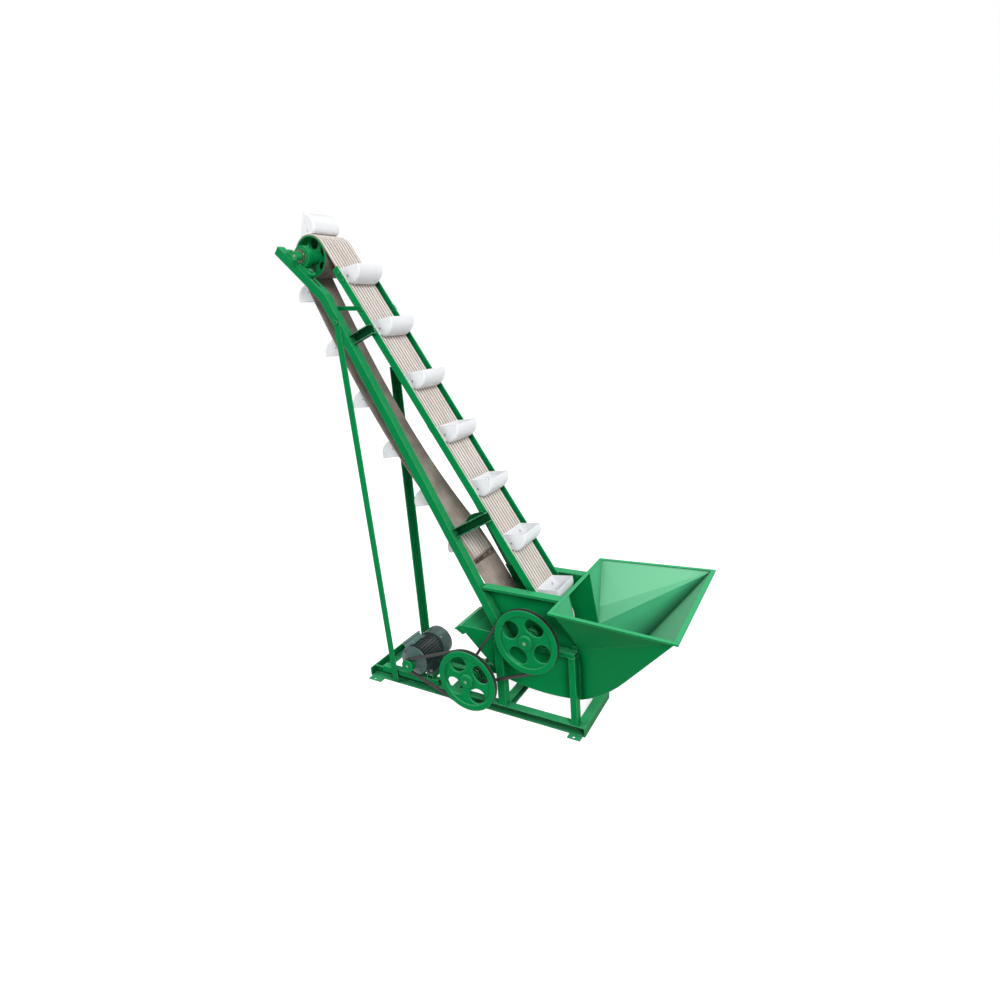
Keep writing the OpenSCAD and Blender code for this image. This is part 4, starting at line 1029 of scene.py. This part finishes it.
class ELEVATOR_OT_make_motor(bpy.types.Operator):
    """Make the motor's end shield, fan cowl and terminal box"""
    bl_idname = "elevator.make_motor"
    bl_label = "Make the motor"

    def execute(self, context):
        self.end_shield()
        self.cowl()
        self.terminal_box()
        return {"FINISHED"}

    def end_shield(self):
        base = along_y(MOTOR_AXIS, SHIELD_FACE)
        profile = [(0.0096, 0.0), (0.076, 0.0), (0.0764, 0.003), (0.0750, 0.0055),
                   (0.070, 0.0075), (0.0655, 0.0085), (0.0600, 0.0125), (0.0530, 0.0160),
                   (0.0490, 0.0172), (0.0430, 0.0205), (0.0385, 0.0222), (0.034, 0.0232),
                   (0.032, 0.0275), (0.030, 0.028), (0.0125, 0.028), (0.0105, 0.026),
                   (0.0096, 0.026)]
        parts, bolts = [turned(profile, base, 72)], []
        for angle in BOLT_TURNS:
            turn = base @ spin(angle, "Z")
            parts.append(rounded_block((0.016, 0.018, 0.011), 0.004, turn @ shift(0.0665, 0, 0)))
            parts.append(rounded_block((0.036, 0.006, 0.019), 0.002, turn @ shift(0.049, 0, 0),
                                       0.25))
            bolts += hex_bolt(turn @ shift(0.067, 0, 0.0108), 0.0046, 0.0032)
        piece_of("motor_shield_casting", parts, "Motor cowl paint",
                 "motor_end_shield")
        piece_of("motor_shield_bolts", bolts, "Motor housing paint")

    def cowl(self):
        base = along_y(MOTOR_AXIS, COWL_FACE)
        groove, depth, radius = 0.004, 0.003, 0.0785
        profile = [(0.018, 0.0)]
        for k in range(6):
            ring = 0.022 + k * 0.0085
            profile += [(ring, 0.0), (ring, depth), (ring + groove, depth), (ring + groove, 0.0)]
        profile += [(0.0715, 0.0), (0.0755, 0.0012), (0.0778, 0.0042), (radius, 0.008),
                    (radius, COWL_LENGTH - 0.004), (0.0777, COWL_LENGTH)]
        head = [(0.0035, 0.0), (0.0035, 0.0009), (0.002, 0.0017)]
        screws = []
        for angle in BOLT_TURNS:
            out = shift(0.0783, 0, COWL_LENGTH - 0.012) @ spin(QUARTER, "Y")
            screws.append(turned(head, base @ spin(angle, "Z") @ out, 16))
        piece_of("motor_fan_cowl", [turned(profile, base, 96)],
                 "Motor cowl paint", "motor_cowl")
        piece_of("motor_cowl_screws", screws, "Zinc")

    def terminal_box(self):
        middle, lean = -0.115, math.radians(128)
        body_foot, lid_foot, screw_foot = 0.064, 0.0935, 0.1043
        out = (shift(MOTOR_AXIS[0], middle, MOTOR_AXIS[1]) @ spin(-lean, "Y")
               @ spin(QUARTER, "Y"))
        parts = [rounded_block((0.076, 0.078, 0.030), 0.005, out @ shift(0, 0, body_foot), 0.06),
                 rounded_block((0.080, 0.082, 0.011), 0.0038, out @ shift(0, 0, lid_foot), 0.10)]
        head = [(0.0036, 0.0), (0.0036, 0.0008), (0.0022, 0.0016)]
        screws = [turned(head, out @ shift(u, v, screw_foot), 16)
                  for u in (-0.030, 0.030) for v in (-0.031, 0.031)]
        piece_of("motor_box_casting", parts, "Motor box paint",
                 "motor_terminal_box")
        piece_of("motor_box_screws", screws, "Zinc")


class ELEVATOR_OT_make_bearing_details(bpy.types.Operator):
    """Make the locking collars on the outer faces of the shafts' bearings"""
    bl_idname = "elevator.make_bearing_details"
    bl_label = "Make the bearing details"

    def execute(self, context):
        bearing_face = 0.1542
        spots = [(BOOT_AXIS, 0.0125, "boot"), (COUNTER_AXIS, 0.0125, "counter"),
                 (HEAD_AXIS, 0.020, "head")]
        for axis, radius, label in spots:
            bore, ring = radius + 0.0003, radius + 0.008
            profile = [(bore, 0.0), (ring, 0.0), (ring, 0.0062), (ring - 0.0012, 0.0075),
                       (bore, 0.0075)]
            near = along_y(axis, -bearing_face)
            far = along_y(axis, bearing_face) @ spin(math.pi, "X")
            piece_of(label + "_locking_collars", [turned(profile, p, 40) for p in (near, far)],
                     "Bare steel", body=label + "_rotor")
        return {"FINISHED"}


class ELEVATOR_OT_make_welds(bpy.types.Operator):
    """Lay the weld beads between the frame's members"""
    bl_idname = "elevator.make_welds"
    bl_label = "Make the weld beads"

    def execute(self, context):
        beads = []
        for s in (-1, 1):
            # Feet and heads of the posts
            for x0, x1 in ((0.180, 0.220), (0.547, 0.577)):
                for z in (0.0455, 0.3770):
                    beads.append(weld_bead((x0, s * 0.157, z), (x1, s * 0.157, z)))
            # Base rails on the base's right end
            for z in (0.003, 0.040):
                beads.append(weld_bead((0.605, s * 0.1215, z), (0.605, s * 0.1555, z), 0.0016))
            # Feet of the stands for the counter bearings
            for x in (-0.005, 0.135):
                beads.append(weld_bead((x, s * 0.119, 0.0455), (x, s * 0.155, 0.0455), 0.0018))
            # Feet of the lower rails on the bearing rails
            beads.append(weld_bead((0.212, s * 0.1572, 0.4005), (0.256, s * 0.1572, 0.4005)))
        piece_of("weld_beads", beads, "Weld")
        return {"FINISHED"}


class ELEVATOR_OT_make_stage(bpy.types.Operator):
    """Make the floor, the lamps, the world and the camera"""
    bl_idname = "elevator.make_stage"
    bl_label = "Make the stage"

    def execute(self, context):
        self.floor()
        self.world()
        self.lamps()
        self.camera()
        bpy.context.scene.view_settings.view_transform = "Standard"
        return {"FINISHED"}

    def floor(self):
        half, height, glow = 30, -0.0004, 0.80
        mesh = bpy.data.meshes.new("studio_floor")
        mesh.from_pydata([(-half, -half, height), (half, -half, height), (half, half, height),
                          (-half, half, height)], [], [(0, 1, 2, 3)])
        floor = bpy.data.objects.new("studio_floor", mesh)
        bpy.context.scene.collection.objects.link(floor)
        look = Finish("Studio floor", 1.0, specular=0.0)
        look.feed((0.55, 0.55, 0.55), "Base Color")
        look.feed((1, 1, 1), "Emission Color")
        look.feed(look.times(look.camera_share(), glow), "Emission Strength")
        mesh.materials.append(look.material)

    def world(self):
        world = bpy.data.worlds.new("Studio")
        bpy.context.scene.world = world
        world.use_nodes = True
        nodes = Nodes(world.node_tree)
        ambient = settings().stage.ambient
        strength = nodes.add(ambient, nodes.times(nodes.camera_share(), 1 - ambient))
        back = nodes.tree.nodes["Background"]
        nodes.put(strength, back.inputs["Strength"])
        nodes.put((1, 1, 1), back.inputs["Color"])

    def lamps(self):
        """Four discs of light, each with a share of the key light's power."""
        target, width = Vector((0.0, 0.0, 0.9)), 5.0
        for name, place, share in (
            ("key_lamp", (7.4, -6.9, 7.6), 1.0),
            ("left_lamp", (-7.2, -6.4, 7.4), 0.3),
            ("right_lamp", (9.5, 0.5, 2.2), 0.09),
            ("back_lamp", (1.5, 8.5, 9.0), 0.15),
        ):
            data = bpy.data.lights.new(name, "AREA")
            data.shape = "DISK"
            data.size = width
            data.energy = settings().stage.key * share
            lamp = bpy.data.objects.new(name, data)
            bpy.context.scene.collection.objects.link(lamp)
            lamp.location = place
            aim = target - Vector(place)
            lamp.rotation_euler = aim.to_track_quat("-Z", "Y").to_euler()

    def camera(self):
        """The photo's camera: turned from -Y, raised and rolled; focal length in its pixels."""
        turn, rise, roll = math.radians(30.52), math.radians(14.85), math.radians(-4.32)
        place, focal_pixels, photo_pixels = (1.5075, -2.2410, 1.7968), 603.54, 1000
        back = Vector((math.sin(turn) * math.cos(rise), -math.cos(turn) * math.cos(rise),
                       math.sin(rise)))
        right = Vector((math.cos(turn), math.sin(turn), 0))
        up = back.cross(right)
        across = right * math.cos(roll) + up * math.sin(roll)
        upward = up * math.cos(roll) - right * math.sin(roll)
        data = bpy.data.cameras.new("photo_camera")
        data.sensor_width = 36.0
        data.lens = data.sensor_width * focal_pixels / photo_pixels
        data.shift_y = -0.022
        camera = bpy.data.objects.new("photo_camera", data)
        bpy.context.scene.collection.objects.link(camera)
        rows = [(across[i], upward[i], back[i], place[i]) for i in range(3)]
        camera.matrix_world = Matrix((*rows, (0, 0, 0, 1)))
        bpy.context.scene.camera = camera


OPERATORS = [
    ELEVATOR_OT_paint_frame, ELEVATOR_OT_make_bucket_belt, ELEVATOR_OT_make_splice,
    ELEVATOR_OT_make_buckets, ELEVATOR_OT_make_drive_belts, ELEVATOR_OT_make_motor,
    ELEVATOR_OT_make_bearing_details, ELEVATOR_OT_make_welds, ELEVATOR_OT_make_stage,
]


class ELEVATOR_PT_panel(bpy.types.Panel):
    """The elevator's pieces, in the order they are made"""
    bl_idname = "ELEVATOR_PT_panel"
    bl_label = "Tyre Elevator"
    bl_space_type = "VIEW_3D"
    bl_region_type = "UI"
    bl_category = "Elevator"

    def draw(self, context):
        for operator in OPERATORS:
            self.layout.operator(operator.bl_idname)
        for group in ("paint", "belt", "bucket", "motor", "stage"):
            values = getattr(context.scene.tyre_elevator, group)
            box = self.layout.box()
            box.label(text=group.capitalize())
            for name in values.__annotations__:
                box.prop(values, name)


CLASSES = [ElevatorPaint, ElevatorBelt, ElevatorBucket, ElevatorMotor, ElevatorStage,
           ElevatorSettings] + OPERATORS + [ELEVATOR_PT_panel]


def register():
    for cls in CLASSES:
        bpy.utils.register_class(cls)
    bpy.types.Scene.tyre_elevator = bpy.props.PointerProperty(type=ElevatorSettings)


def unregister():
    del bpy.types.Scene.tyre_elevator
    for cls in reversed(CLASSES):
        bpy.utils.unregister_class(cls)


def main():
    register()
    for operator in OPERATORS:
        group, name = operator.bl_idname.split(".")
        getattr(getattr(bpy.ops, group), name)()


if __name__ == "__main__":
    main()
